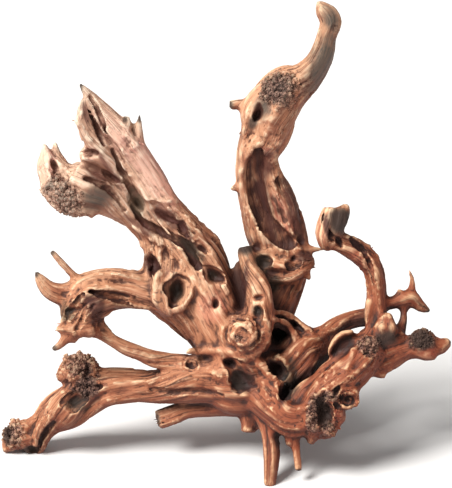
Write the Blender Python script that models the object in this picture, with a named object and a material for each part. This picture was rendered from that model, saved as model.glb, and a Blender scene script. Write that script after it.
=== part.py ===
"""Coral driftwood: a weathered root that grew as one piece, about 0.45 m wide and 0.48 m tall.

The limbs are laid out on an upright sheet, in millimetres: across to the right, up, and deep
behind the sheet. The sheet then leans back by LEAN, which stands the root on its tap root,
the end of its lower left limb and a stout root at its back.
"""

import math

import bmesh
import bpy
from mathutils import Vector, noise
from mathutils.bvhtree import BVHTree

MM = 0.001

# The sheet: how far it leans back, the point that stays in place as forms grow with depth,
# and how far away a form would have to be to grow to twice its size.
LEAN = math.radians(20)
SHEET_CENTRE = (226.0, 244.0)
SIGHT_LENGTH = 2000.0

# What the sheet's own origin is moved by, so that the root stands centred on the ground.
SHIFT = Vector((-0.2235, -0.0908, 0.0))

# The grain of the fused wood, the radius that softens where limbs meet, and the triangles left.
VOXEL = 1.7 * MM
HELPER_VOXEL = 1.3 * MM
FILLET = 1.5 * MM
TRIANGLES_KEPT = 11700

# Ribs that run along the wood, in millimetres: their width and the depth of the grooves
# between them, which is never more than RIB_SHARE of a limb's radius. They drift sideways as
# noise of about RIB_LENGTH does, and PLANES is how far a section strays from round.
RIB_WIDTH = 15.0
RIB_DEPTH = 5.5
RIB_SHARE = 0.3
RIB_LENGTH = 60.0
RIB_DRIFT = 1.6
RIB_SHARPNESS = 0.8
RIB_MEAN = 0.7
PLANES = 0.3

# Each limb runs through its stations: across, up, deep and radius. "end" says how its last
# station closes (round, point or cut) and "start" how its first does. "turn" is the twist of
# its ribs in degrees a centimetre, and "flat" is its thickness over its width.
TRUNK = {
    "right_stem": dict(
        stations=[
            (79, 405, -34, 1.6), (84, 399, -34, 3.6), (91, 390, -33, 6.5), (104, 374, -31, 10),
            (119, 356, -27, 12.5),
            (132, 338, -22, 14.5), (146, 315, -14, 14.5), (164, 283, -4, 16.5),
            (179, 262, 4, 20), (192, 244, 12, 22.5), (201, 229, 18, 24.5), (209, 203, 24, 27),
            (218, 172, 30, 31), (231, 142, 36, 38), (240, 116, 40, 38),
        ],
        start="point", turn=4,
    ),
    "left_stem": dict(
        stations=[
            (50, 318, -18, 14), (62, 303, -15, 23), (80, 298, -12, 25), (104, 295, -6, 20.5),
            (124, 283, 0, 17), (142, 266, 6, 15), (155, 250, 11, 16), (162, 232, 15, 19.5),
            (166, 212, 18, 24), (172, 194, 22, 25.5), (186, 178, 26, 21), (202, 164, 30, 23),
            (220, 146, 34, 28),
        ],
        turn=-9,
    ),
    "back_stem": dict(
        stations=[
            (150, 292, 14, 12), (170, 262, 24, 18), (186, 232, 34, 23), (202, 200, 44, 27),
            (220, 165, 52, 31), (240, 130, 56, 34),
        ],
        turn=6,
    ),
    "body": dict(
        stations=[
            (202, 117, 36, 22), (224, 114, 37, 35), (247, 110, 38, 39), (270, 112, 37, 34),
            (289, 121, 35, 28), (307, 136, 35, 25), (323, 143, 38, 17), (338, 160, 42, 9.5),
            (352, 167, 43, 8), (372, 171, 40, 8.5),
        ],
        turn=3,
    ),
    "shoulder_arch": dict(
        stations=[
            (258, 170, 22, 12), (274, 170, 24, 9), (288, 165, 27, 9.5), (302, 156, 31, 10),
            (316, 146, 36, 13),
        ],
    ),
    "body_back": dict(
        stations=[
            (212, 130, 58, 20), (236, 122, 66, 28), (262, 126, 66, 30), (286, 138, 58, 26),
            (306, 142, 50, 18),
        ],
        turn=5,
    ),
}

UPPER_LEFT = {
    "stem_flank": dict(
        stations=[
            (83, 389, -39, 2.5), (83, 375, -38, 6.5), (86, 361, -36, 9), (93, 349, -32, 10),
            (104, 336, -27, 11.5), (118, 321, -19, 12), (134, 302, -10, 12), (150, 280, 0, 12),
        ],
        start="point", turn=5,
    ),
    "spike": dict(
        stations=[(137, 344, -22, 9), (138, 357, -23, 6), (139.3, 367, -24, 3), (139.8, 376, -24, 1.3)],
        end="point",
    ),
    "shoulder_bump": dict(
        stations=[(122, 352, -30, 8), (126, 364, -30, 6.5), (127, 370, -30, 3.5)],
    ),
    "cut_stub": dict(
        stations=[(106, 328, -20, 10), (94, 332, -26, 8), (82, 334, -31, 6.5)],
        end="cut",
    ),
    "flank_lump": dict(stations=[(88, 362, -36, 6), (79, 364, -39, 3.6)]),
    "outer_horn": dict(
        stations=[(58, 304, -18, 14), (48, 324, -20, 9.5), (45, 336, -21, 5.5), (44, 343, -21, 3)],
    ),
    "inner_horn": dict(
        stations=[(68, 302, -14, 15), (62, 320, -14, 9), (57, 333, -14, 5), (55, 345, -14, 2.4)],
    ),
    "outer_edge": dict(
        stations=[(46, 331, -18, 7.5), (43, 321, -16, 7.5), (49, 306, -15, 9), (58, 292, -14, 9)],
    ),
    "under_nub": dict(stations=[(86, 286, -14, 9), (91, 274, -14, 4.5), (92, 270, -14, 2.5)]),
    "edge_lump_high": dict(stations=[(150, 254, 10, 8), (141, 256, 8, 3.4)]),
    "edge_lump_low": dict(stations=[(152, 242, 12, 10), (143, 244, 10, 5)]),
}

TALL_LIMB = {
    "tall_limb": dict(
        stations=[
            (318, 486, -43, 2.6), (323, 479, -42, 8), (331, 467, -41, 11), (327, 453, -39, 10.5),
            (323, 436, -36, 12.3), (316, 421, -32, 13.5), (304, 407, -27, 16.5),
            (285, 394, -21, 24.5), (271, 376, -15, 29), (265, 357, -10, 25.5),
            (256, 338, -2, 20), (255, 322, 4, 20), (258, 307, 11, 22), (265, 287, 18, 26),
            (270, 273, 24, 27.5), (275, 257, 29, 28), (280, 241, 34, 27.5), (282, 222, 39, 26),
            (277, 200, 44, 24), (268, 176, 46, 24), (256, 150, 44, 28),
        ],
        start="round", turn=-3,
    ),
    "bulge": dict(
        stations=[(255, 348, -12, 12), (270, 372, -24, 19), (282, 393, -29, 18), (296, 408, -30, 9)],
    ),
    "left_peg": dict(
        stations=[(255, 383, -14, 9), (243, 384, -17, 5.6), (230, 382.5, -20, 5.8)], end="cut",
    ),
    "left_nub": dict(stations=[(244, 301, 8, 8), (236, 300, 7, 4.5), (230, 299, 6, 2)]),
    "flap": dict(
        stations=[(264, 226, 30, 22), (284, 222, 24, 20), (300, 225, 22, 14), (309, 226, 22, 8)],
    ),
    "flap_spike": dict(
        stations=[(298, 238, 24, 8), (308, 239, 24, 4.4), (318, 238.8, 23, 2.6), (327, 238.4, 22, 1.2)],
        end="point",
    ),
    "flap_tooth": dict(
        stations=[(302, 220, 24, 9), (308, 212, 24, 4), (310.5, 206, 24, 1)], end="point",
    ),
}

FINGER = {
    "finger": dict(
        stations=[
            (252, 150, 8, 20), (257, 170, 4, 15), (259, 186, 4, 12.5), (257.5, 198, 6, 13),
            (254, 211, 8, 11.6), (249, 224, 9, 9.6), (246, 235, 9, 8.6), (244.5, 241, 9, 7.6),
        ],
        end="cut", turn=14,
    ),
    "finger_side": dict(
        stations=[
            (247, 166, 18, 9), (243, 184, 19, 7), (239, 203, 19, 6), (237.5, 219, 19, 4.6),
            (238, 227, 18, 2),
        ],
        turn=6,
    ),
    "finger_fork": dict(
        stations=[(266, 160, -2, 9), (270, 178, 2, 5), (268, 192, 6, 5), (264, 208, 8, 4)],
    ),
    "swirl_knob": dict(
        stations=[(247, 150, 22, 24), (247, 154, 6, 22.5), (247, 155, -8, 18)],
        turn=20,
    ),
}

RIGHT_SIDE = {
    "hooked_limb": dict(
        stations=[
            (374, 150, 20, 11), (377, 170, 23, 11), (376, 188, 25, 10.8), (375, 203, 24, 10.8),
            (372, 218, 22, 11.3), (363, 231, 18, 12.3), (351, 240, 13, 11.8),
            (340, 245, 9, 10.5), (330, 250, 5, 12),
        ],
        turn=6,
    ),
    "hooked_foot": dict(
        stations=[(371, 186, 18, 6), (368, 173, 16, 4.5), (367, 162, 14, 2)],
    ),
    "hook_knob": dict(
        stations=[(327, 244, 4, 9), (328, 254, 2, 12.5), (332, 267, 1, 14), (334, 279, 1, 12.5)],
        end="cut",
    ),
    "hook_nub": dict(stations=[(338, 268, 4, 9), (345, 279, 3, 6.5), (346, 282, 3, 4)]),
    "bark_spur_high": dict(stations=[(364, 236, 16, 7), (371, 244, 15, 1.6)]),
    "bark_spur_mid": dict(stations=[(372, 226, 18, 8), (379, 233, 18, 2)]),
    "bark_spur_low": dict(stations=[(378, 202, 22, 7), (385, 206, 22, 1.8)]),
    "twig": dict(
        stations=[
            (376, 184, 28, 9), (392, 185.5, 31, 6.8), (402, 188, 33, 8.5), (411, 190, 35, 9),
            (419, 183, 36, 7), (425, 179, 37, 5), (429, 177, 37, 2.8),
        ],
        turn=8,
    ),
    "twig_bump": dict(stations=[(401, 191, 32, 6), (399, 198, 31, 2.6)]),
    "twig_spike": dict(
        stations=[(412, 194, 35, 5), (412.7, 207, 35, 3.4), (411, 214, 35, 2.6), (407.6, 223, 35, 1.3)],
        end="point",
    ),
    "down_twig": dict(
        stations=[(404, 186, 34, 4.5), (404, 174, 32, 3.8), (402, 163, 30, 5), (396, 152, 27, 9)],
    ),
    "right_mass": dict(
        stations=[(366, 140, 20, 15), (382, 146, 20, 15), (397, 149, 22, 11.5)],
    ),
    "round_knob": dict(
        stations=[(384, 150, 18, 13), (386, 163, 14, 12.5), (386, 169, 13, 8.5)],
    ),
    "far_limb": dict(
        stations=[
            (376, 128, 18, 15), (392, 132, 20, 11.5), (405, 137, 21, 8.5), (417, 141, 21, 10),
            (428, 143, 22, 9.5),
        ],
        turn=8,
    ),
    "far_knob": dict(
        stations=[(412, 143, 22, 8), (418, 145, 20, 13.5), (425, 145, 20, 13.5), (431, 142, 20, 10)],
    ),
    "far_under": dict(stations=[(418, 138, 19, 9), (428, 134, 18, 8), (434, 131, 18, 4)]),
    "far_peg": dict(
        stations=[(430, 141, 22, 9.5), (440, 141, 23, 8), (450, 146.5, 25, 4)], end="cut",
    ),
    "far_spur": dict(
        stations=[(374, 120, 16, 9), (382, 113, 14, 4.5), (387, 110, 13, 1)], end="point",
    ),
    "far_spur_high": dict(
        stations=[(384, 124, 17, 8), (391, 118, 16, 3.5), (392, 116, 16, 1)], end="point",
    ),
}

FRONT_RIGHT = {
    "front_limb": dict(
        stations=[
            (370, 150, 16, 12), (365, 136, 11, 16.5), (354, 120, 5, 19.5), (340, 106, 1, 21),
            (327, 93, 0, 21.5), (318, 76, 2, 22), (314, 60, 4, 15), (311, 47, 4, 5),
        ],
        turn=-5,
    ),
    "dark_knob": dict(
        stations=[(318, 84, 8, 22), (323, 76, -4, 21), (327, 71, -15, 18)],
        end="cut",
    ),
    "dark_knob_low": dict(stations=[(322, 62, 4, 16), (329, 58, -8, 10), (333, 54, -9, 5)]),
    "eye_knob": dict(
        stations=[(344, 98, 2, 15), (347, 91, -8, 13), (348, 89, -15, 11)], end="cut",
    ),
    "side_knob": dict(stations=[(335, 78, 0, 10), (340, 70, -4, 7)]),
    "pink_bulge": dict(
        stations=[
            (258, 98, 26, 24), (273, 82, 14, 20), (287, 71, 7, 18.5), (300, 70, 4, 17),
            (314, 74, 3, 18),
        ],
    ),
    "limb_lip": dict(
        stations=[
            (288, 76, 4, 9), (294, 87, 2, 8), (301, 98, 2, 7), (311, 105, 3, 7),
            (322, 108, 4, 8),
        ],
    ),
    "crust_patch": dict(stations=[(360, 140, 4, 10), (370, 143, 3, 12), (376, 138, 6, 9)]),
    "splinter": dict(
        stations=[(352, 156, 2, 3.5), (342, 154, 0, 3.6), (333, 145, -1, 3.2), (327.5, 132, 0, 1.6)],
    ),
    "splinter_plate": dict(
        stations=[(354, 148, 10, 9), (343, 146, 9, 8.5), (337, 134, 8, 7), (338, 124, 8, 6)],
        flat=0.7,
    ),
}

LOW_ROOTS = {
    "low_left_limb": dict(
        stations=[
            (232, 108, 36, 25), (207, 108, 35, 21.5), (186, 107, 36, 20), (168, 104, 38, 17),
            (150, 101.5, 40, 15.5),
            (125, 102, 43, 17.8), (101, 100.5, 48, 20), (80, 92, 54, 21.5), (61, 78, 61, 21.5),
            (48, 66, 67, 17.5), (39, 55, 72, 16), (34, 43, 76, 13), (32, 36, 78, 8),
        ],
        turn=6,
    ),
    "low_left_lobe": dict(
        stations=[(40, 57, 74, 12), (26, 54, 74, 15), (14, 50, 74, 13), (8, 45, 74, 8)],
    ),
    "lobe_tip": dict(stations=[(18, 56, 72, 10), (14, 66, 71, 4.5), (11.5, 71, 71, 1.4)]),
    "lobe_corner": dict(stations=[(14, 54, 72, 8), (4, 57, 71, 3)]),
    "lobe_heel": dict(stations=[(14, 44, 72, 8), (5, 38, 73, 4)]),
    "limb_crest": dict(stations=[(48, 70, 58, 8), (36, 66, 64, 5), (30, 67, 66, 2.5)]),
    "crust_knob": dict(
        stations=[(64, 112, 50, 9), (71, 118, 46, 13.5), (84, 118, 46, 14), (93, 113, 48, 11)],
    ),
    "crust_lump_a": dict(stations=[(74, 120, 44, 7), (68, 127, 40, 6), (66, 131, 39, 3)]),
    "crust_lump_b": dict(stations=[(80, 122, 42, 7), (80, 132, 40, 5.5), (79, 135, 39, 3)]),
    "crust_lump_c": dict(stations=[(86, 118, 40, 7), (92, 124, 38, 5.5), (94, 126, 38, 3)]),
    "crust_lump_d": dict(stations=[(76, 114, 38, 8), (72, 110, 34, 6), (71, 108, 33, 3)]),
    "back_stub": dict(
        stations=[
            (232, 86, 46, 16), (208, 81, 48, 10), (186, 79, 50, 9.5), (169, 73, 52, 10.3),
            (157.5, 69, 53, 9.8),
        ],
        end="cut",
    ),
    "short_stub": dict(
        stations=[(246, 88, 38, 16), (248, 68, 36, 9), (248, 56, 35, 8)], end="cut",
    ),
    "tap_root": dict(
        stations=[
            (262, 100, 32, 24), (267, 74, 26, 14), (270, 54, 18, 10), (271.5, 36, 11, 9.4),
            (271, 20, 7, 7.8), (270, 4, 7, 6.2),
        ],
    ),
    "collar": dict(stations=[(290, 68, 12, 13), (292, 54, 11, 9.5), (292.5, 43, 10, 8)], end="cut"),
    "second_peg": dict(
        stations=[(294, 56, 10, 6), (296, 38, 9, 4.9), (298.5, 17.5, 7, 4.4)], end="cut",
    ),
    "back_root": dict(
        stations=[
            (262, 124, 60, 26), (280, 114, 88, 20), (300, 96, 116, 16.5), (314, 82, 138, 15),
            (322, 72, 154, 13.5), (325, 66, 162, 11),
        ],
        turn=6,
    ),
}

MIDDLE_LEFT = {
    "middle_limb": dict(
        stations=[
            (178, 196, 24, 24), (150, 196, 19, 20.5), (126, 199, 14, 20), (105, 198, 10, 22.5),
            (90, 190, 7, 25), (80, 177, 4, 21), (77, 163, 3, 15),
        ],
        turn=-4,
    ),
    "fin": dict(
        stations=[
            (76, 194, 4, 16), (61, 194, 1, 13), (49, 199, -3, 10), (41, 208, -6, 6.5),
            (36.5, 215.5, -8, 3),
        ],
        flat=0.6,
    ),
    "long_peg": dict(
        stations=[(82, 204, 4, 6), (73, 213, 1, 3.8), (62, 225, -3, 3.6), (52.5, 236, -6, 3.2)],
    ),
    "ledge": dict(stations=[(88, 164, -4, 12), (72, 161, -5, 8.5), (59, 159, -5, 4.5)], flat=0.8),
    "hook_twig": dict(
        stations=[(74, 157, 0, 8), (65, 149, -1, 5), (60, 143, -2, 4), (54, 139, -3, 3.3)],
    ),
    "under_bump": dict(stations=[(76, 158, 0, 8), (73, 148, 0, 4.8)]),
    "under_lump": dict(stations=[(86, 164, 5, 12), (93, 157, 6, 8.5)]),
    "hair_splinter": dict(
        stations=[(96, 175, 6, 5), (106, 163, 6, 2.4), (117, 153.5, 7, 0.9)], end="point",
    ),
    "thin_root": dict(
        stations=[
            (86, 163, 8, 9), (99, 155, 10, 6.2), (113, 147, 12, 6.2), (126, 139.5, 15, 7.2),
            (140, 134, 18, 7.8), (152, 129, 21, 9.5), (167, 127, 25, 10.5), (184, 125, 27, 12),
            (205, 120, 30, 15),
        ],
        turn=10,
    ),
}

LIMB_GROUPS = (
    TRUNK, UPPER_LEFT, TALL_LIMB, FINGER, RIGHT_SIDE, FRONT_RIGHT, LOW_ROOTS, MIDDLE_LEFT,
)

# Strands that lie on the side facing the front: across, up and radius, and how far the
# middle of the strand sits below that face, in radii.
LAID = {
    "light_ridge": dict(
        points=[
            (188, 136, 3), (206, 137, 5), (224, 137, 6), (246, 133, 6.5), (262, 124, 7),
            (273, 113, 7), (279, 101, 6), (279, 88, 5),
        ],
        sink=0.2,
    ),
    "upper_twist": dict(
        points=[
            (134, 262, 3.5), (148, 255, 5.5), (164, 246, 6.5), (177, 237, 6.5), (185, 224, 6.5),
            (194, 210, 6), (204, 197, 5), (210, 184, 3),
        ],
        sink=0.2,
    ),
    "spear_rib": dict(
        points=[(84, 398, 2), (94, 382, 4), (104, 365, 5), (110, 350, 4.5), (114, 338, 3)], sink=0.5,
    ),
    "slab_edge": dict(
        points=[
            (120, 336, 3), (130, 318, 3.6), (140, 302, 4), (148, 290, 4.4), (160, 286, 4),
            (171, 287, 3),
        ],
        sink=0.3,
    ),
    "stem_line": dict(
        points=[
            (96, 350, 3), (106, 332, 4.6), (118, 313, 5), (128, 296, 5), (136, 278, 4),
            (150, 266, 3),
        ],
        sink=0.3,
    ),
    "flared_rib": dict(
        points=[
            (74, 318, 3), (92, 318, 4), (108, 314, 4.4), (120, 304, 4.4), (131, 288, 3.4),
        ],
        sink=0.4,
    ),
    "flared_crest": dict(points=[(66, 306, 3), (62, 294, 4), (68, 282, 4), (80, 274, 3)], sink=0.3),
    "stem_right": dict(
        points=[(184, 272, 3), (198, 254, 4.4), (210, 236, 5), (220, 214, 5), (228, 194, 4)], sink=0.5,
    ),
    "knot_side": dict(
        points=[(160, 214, 5), (157, 200, 6.5), (160, 184, 6.5), (172, 176, 6)],
        sink=0.2,
    ),
    "gutter_edge": dict(
        points=[
            (252, 386, 3), (247, 366, 4), (245, 345, 4.5), (243, 322, 5), (243, 300, 5),
            (247, 280, 5), (252, 258, 5), (256, 244, 4),
        ],
        sink=0.2,
    ),
    "gutter_lip": dict(points=[(258, 241, 4), (272, 237, 4.5), (288, 237, 4), (304, 238, 3)], sink=0.2),
    "light_blade": dict(
        points=[(322, 466, 2.5), (320, 452, 3.4), (316, 437, 3.8), (309, 421, 4), (298, 408, 3.4)],
        sink=0.2,
    ),
    "limb_rib": dict(points=[(170, 112, 2), (150, 106, 3), (125, 105, 3.4), (106, 104, 3)], sink=0.2),
    "limb_band": dict(points=[(108, 104, 2.4), (96, 106, 4), (84, 108, 4), (72, 104, 3)], sink=0.2),
    "end_rib": dict(
        points=[(62, 96, 3), (50, 82, 4), (42, 64, 4.5), (33, 50, 4), (24, 41, 3)],
        sink=0.2,
    ),
    "finger_edge": dict(
        points=[
            (246, 220, 2.6), (248, 206, 3.6), (248, 192, 4), (246, 180, 4.4), (242, 170, 3.4),
        ],
        sink=0.3,
    ),
    "finger_back": dict(
        points=[
            (262, 208, 2.6), (267, 196, 3.6), (269, 184, 3.6), (269, 170, 4), (265, 152, 3.4),
        ],
        sink=0.4,
    ),
    "arch_edge": dict(
        points=[(270, 176, 3), (284, 174, 4), (297, 166, 4.4), (308, 157, 4), (318, 148, 3)], sink=0.3,
    ),
    "arch_strand": dict(
        points=[
            (272, 168, 2.6), (285, 166, 3.4), (293, 156, 4), (297, 144, 4), (298, 132, 3),
        ],
        sink=0.2,
    ),
    "shoulder_rib": dict(
        points=[(304, 144, 3), (322, 152, 4), (338, 162, 4), (352, 171, 3)], sink=0.4,
    ),
    "top_rib": dict(
        points=[(84, 214, 2.4), (104, 216, 3.6), (128, 212, 3.6), (142, 208, 2.4)],
        sink=0.2,
    ),
    "bark_edge": dict(
        points=[(344, 252, 2.4), (356, 246, 3.2), (366, 236, 3.4), (374, 222, 3.4), (379, 208, 2.6)],
        sink=0.2,
    ),
    "front_rib": dict(points=[(354, 138, 4), (349, 124, 5), (340, 112, 5), (326, 106, 4)], sink=0.2),
}

# Holes and hollows on the side facing the front: place, half sizes across and along, how far
# their long side turns from upright in degrees, how deep they go, and the height of a rim.
HOLLOWS = {
    "knot_hole": dict(at=(176, 197), half=(9, 13), turn=8, deep=24, rim=4.2),
    "edge_recess": dict(at=(153, 223), half=(7, 14), turn=-42, deep=9),
    "slab_hollow": dict(at=(166, 271), half=(6, 17), turn=-50, deep=8),
    "slab_hollow_end": dict(at=(181, 261), half=(6, 13), turn=-25, deep=9),
    "tear_hole": dict(at=(215, 212), half=(6.5, 10), turn=-58, deep=20),
    "small_hole": dict(at=(216, 184), half=(4, 5), turn=10, deep=14),
    "twist_dip": dict(at=(204, 238), half=(5, 11), turn=-60, deep=6),
    "green_dip": dict(at=(138, 284), half=(5, 11), turn=-25, deep=8),
    "stub_mouth": dict(at=(89, 335), half=(4.5, 8), turn=-80, deep=8),
    "under_strand": dict(at=(112, 310), half=(4, 9), turn=-60, deep=7),
    "horn_valley": dict(at=(54, 322), half=(4, 12), turn=-10, deep=7),
    "lobe_hollow": dict(at=(60, 316), half=(8, 9), turn=0, deep=4),
    "dark_mouth": dict(at=(281, 154), half=(10, 10.5), turn=-20, deep=12),
    "slit": dict(at=(296, 162), half=(2.8, 8), turn=-52, deep=12),
    "ring_hole": dict(at=(279, 119), half=(7, 10), turn=-40, deep=16, rim=4.5),
    "great_hollow": dict(at=(243, 107), half=(12, 14), turn=-20, deep=26),
    "great_hollow_side": dict(at=(230, 124), half=(4.5, 8), turn=-60, deep=12),
    "finger_hole": dict(at=(258, 177), half=(5.5, 8), turn=-10, deep=12),
    "finger_notch": dict(at=(256, 189), half=(3.4, 10), turn=70, deep=9),
    "shade_gap": dict(at=(285, 95), half=(5, 10), turn=25, deep=16),
    "knob_face": dict(at=(327, 72), half=(12, 19), turn=-10, deep=10),
    "eye": dict(at=(348, 88), half=(6, 4.5), turn=0, deep=5, rim=2.6),
    "roll_core": dict(at=(191, 124.5), half=(4.5, 6), turn=70, deep=6, rim=3.4),
    "patch_dip_high": dict(at=(368, 150), half=(5, 4), turn=0, deep=5),
    "patch_dip_low": dict(at=(371, 136), half=(7, 4), turn=20, deep=5),
    "elbow_hollow": dict(at=(76, 86), half=(9, 15), turn=70, deep=10),
    "elbow_hollow_top": dict(at=(84, 99), half=(5, 13), turn=80, deep=7),
    "lobe_mouth": dict(at=(11, 55), half=(4, 6), turn=20, deep=5),
    "end_hollow": dict(at=(34, 37), half=(6, 4), turn=10, deep=6),
    "nose_dip": dict(at=(340, 244), half=(3, 8), turn=-20, deep=5),
    "crust_dip": dict(at=(88, 118), half=(6, 7), turn=0, deep=6),
    "ledge_hollow": dict(at=(72, 177), half=(5, 13), turn=70, deep=8),
    "bulge_slot": dict(at=(259, 372), half=(3.6, 9), turn=18, deep=9),
    "block_dip": dict(at=(295, 228), half=(7, 9), turn=20, deep=5),
    "swirl_core": dict(at=(240, 151), half=(6, 6), turn=0, deep=5, rim=3.2),
}

# Furrows on the side facing the front: across, up and radius, and how far the furrow's floor
# lies below that face, in furrow radii.
FURROWS = {
    "long_channel": dict(
        points=[
            (132, 280, 3), (142, 268, 4.4), (158, 258, 4.2), (172, 252, 4.4), (186, 241, 5),
            (193, 230, 5), (199, 219, 3),
        ],
        sink=1.4,
    ),
    "spear_gap": dict(
        points=[(83, 391, 3), (87, 378, 4.4), (93, 364, 5), (99, 352, 4.4), (103, 343, 3)], sink=1.5,
    ),
    "slab_groove": dict(
        points=[(112, 338, 3), (119, 322, 4.2), (128, 305, 4.6), (136, 291, 3.6)], sink=1.3,
    ),
    "gutter": dict(
        points=[
            (259, 338, 6), (254, 322, 9.5), (254, 303, 11), (258, 284, 11.5), (266, 266, 12),
            (279, 252, 10), (290, 246, 7),
        ],
        sink=1.25,
    ),
    "gutter_floor": dict(
        points=[(263, 326, 7), (266, 304, 13), (273, 284, 16), (281, 265, 17), (288, 254, 12)],
        sink=0.5,
    ),
    "gutter_side": dict(
        points=[(276, 312, 3), (284, 294, 4.5), (292, 274, 5), (299, 256, 5), (302, 246, 4)],
        sink=0.9,
    ),
    "knob_channel": dict(points=[(324, 270, 2.8), (328, 259, 3.8), (332, 247, 3)], sink=1.2),
    "end_split": dict(points=[(54, 66, 2.8), (47, 57, 4), (43, 49, 4.2), (39, 42, 3)], sink=1.1),
    "lobe_split": dict(points=[(32, 63, 2.8), (29, 53, 3.8), (26, 43, 3)], sink=1.1),
    "trunk_line": dict(points=[(150, 98, 2.6), (176, 96, 3.4), (200, 97, 3.8), (222, 92, 3)], sink=1),
    "flared_channel": dict(
        points=[(84, 309, 3), (100, 303, 4), (114, 293, 4.4), (126, 278, 3.4)], sink=0.9,
    ),
    "stem_channel": dict(
        points=[(152, 276, 3), (166, 264, 4), (178, 254, 4), (190, 246, 3)], sink=1,
    ),
    "limb_line": dict(points=[(90, 197, 2.6), (112, 195, 3.6), (136, 190, 2.6)], sink=1),
    "eye_gap": dict(points=[(338, 101, 2.6), (335, 90, 3.4), (338, 80, 2.6)], sink=1.1),
    "bark_gap": dict(
        points=[(350, 250, 2.6), (362, 238, 3.2), (370, 222, 3.2), (374, 206, 2.6)],
        sink=1,
    ),
}

# How finely a limb is lofted: the gap between its rings and the length of a ring's sides.
RING_GAP = 3.0
SIDE_LENGTH = 2.8
MOST_SIDES = 56
FEWEST_SIDES = 10
THINNEST = 0.6

# Ends: how far a cut face bulges and how wide it is, and how long a rounded end is, in radii.
CUT_BULGE = 0.08
CUT_WIDTH = 0.86
ROUND_LENGTH = 0.8
ROUND_ANGLES = (30, 55, 75)

# How far in front of and behind the sheet the face is looked for.
FACE_REACH = 300.0

# A strand has a station on every third point of its curve.
STRAND_STEP = 3
EVENING_PASSES = 3

# A rim's points, its distance from the hole in rim radii, and how deep it sits.
RIM_POINTS = 14
RIM_OFFSET = 0.55
RIM_SINK = 0.25

# A hollow is a deep pebble inside a wide shallow one. How far its shape strays from round, and
# how far its cutter reaches out of the face.
DEEP_SHARE = 0.85
WIDE_SHARE = 1.3
WIDE_DEPTH = 0.55
UNEVEN = 0.45
MOUTH_REACH = 10.0


def clear_scene():
    for item in list(bpy.data.objects):
        bpy.data.objects.remove(item, do_unlink=True)


def stand(across, up, deep):
    """A point of the sheet, in millimetres, as a point of the standing root in metres."""
    growth = 1 + deep / SIGHT_LENGTH
    across = SHEET_CENTRE[0] + (across - SHEET_CENTRE[0]) * growth
    up = SHEET_CENTRE[1] + (up - SHEET_CENTRE[1]) * growth
    forward = up * math.sin(LEAN) + deep * math.cos(LEAN)
    height = up * math.cos(LEAN) - deep * math.sin(LEAN)
    return Vector((across, forward, height)) * MM + SHIFT


def curve_through(stations):
    """Points about RING_GAP apart on a smooth curve through the stations, and the length run."""
    rows = [Vector(row) for row in stations]
    padded = [2 * rows[0] - rows[1], *rows, 2 * rows[-1] - rows[-2]]
    points = []
    lengths = []
    run = 0.0
    for before, here, there, after in zip(padded, padded[1:], padded[2:], padded[3:]):
        span = (there.xyz - here.xyz).length
        count = max(2, round(span / RING_GAP))
        for step in range(count):
            t = step / count
            bend = 2 * here + (there - before) * t
            bend += (2 * before - 5 * here + 4 * there - after) * t * t
            bend += (3 * here - before - 3 * there + after) * t ** 3
            points.append(bend / 2)
            lengths.append(run + span * t)
        run += span
    points.append(rows[-1])
    lengths.append(run)
    return points, lengths


def closing_rings(centre, along, radius, kind):
    """Centre and radius of the rings that close an end, where along points outwards."""
    if kind == "cut":
        return [(centre + along * radius * CUT_BULGE, radius * CUT_WIDTH)]
    if kind == "point":
        return []
    rings = []
    for angle in ROUND_ANGLES:
        turned = math.radians(angle)
        reach = along * radius * ROUND_LENGTH * math.sin(turned)
        rings.append((centre + reach, radius * math.cos(turned)))
    return rings


def rib(angle, run, radius, count, turn, seed):
    """How far the wood stands out at an angle round the limb, in millimetres."""
    angle += math.radians(turn) * run / 10
    spot = Vector((math.cos(angle) * 0.8, math.sin(angle) * 0.8, run / RIB_LENGTH + seed))
    drift = RIB_DRIFT * noise.noise(spot)
    height = min(RIB_DEPTH, RIB_SHARE * radius)
    height *= 0.7 + 0.9 * noise.noise(spot * 1.3 + Vector((0, 5.3, 0)))
    wave = abs(math.sin(count * angle / 2 + drift)) ** RIB_SHARPNESS
    plane = radius * PLANES * noise.noise(spot * 0.9 + Vector((3.1, 0, 0)))
    return height * (wave - RIB_MEAN) + plane


def limb_rings(stations, start, end):
    """Place, direction, radius and length run of each ring from one closed end to the other."""
    points, lengths = curve_through(stations)
    rings = []
    for index, point in enumerate(points):
        ahead = points[min(index + 1, len(points) - 1)]
        behind = points[max(index - 1, 0)]
        tangent = (ahead.xyz - behind.xyz).normalized()
        rings.append((point.xyz, tangent, max(point.w, THINNEST), lengths[index]))
    place, tangent, radius, run = rings[0]
    for centre, narrowed in closing_rings(place, -tangent, radius, start):
        rings.insert(0, (centre, tangent, narrowed, run))
    place, tangent, radius, run = rings[-1]
    for centre, narrowed in closing_rings(place, tangent, radius, end):
        rings.append((centre, tangent, narrowed, run))
    return rings


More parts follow.
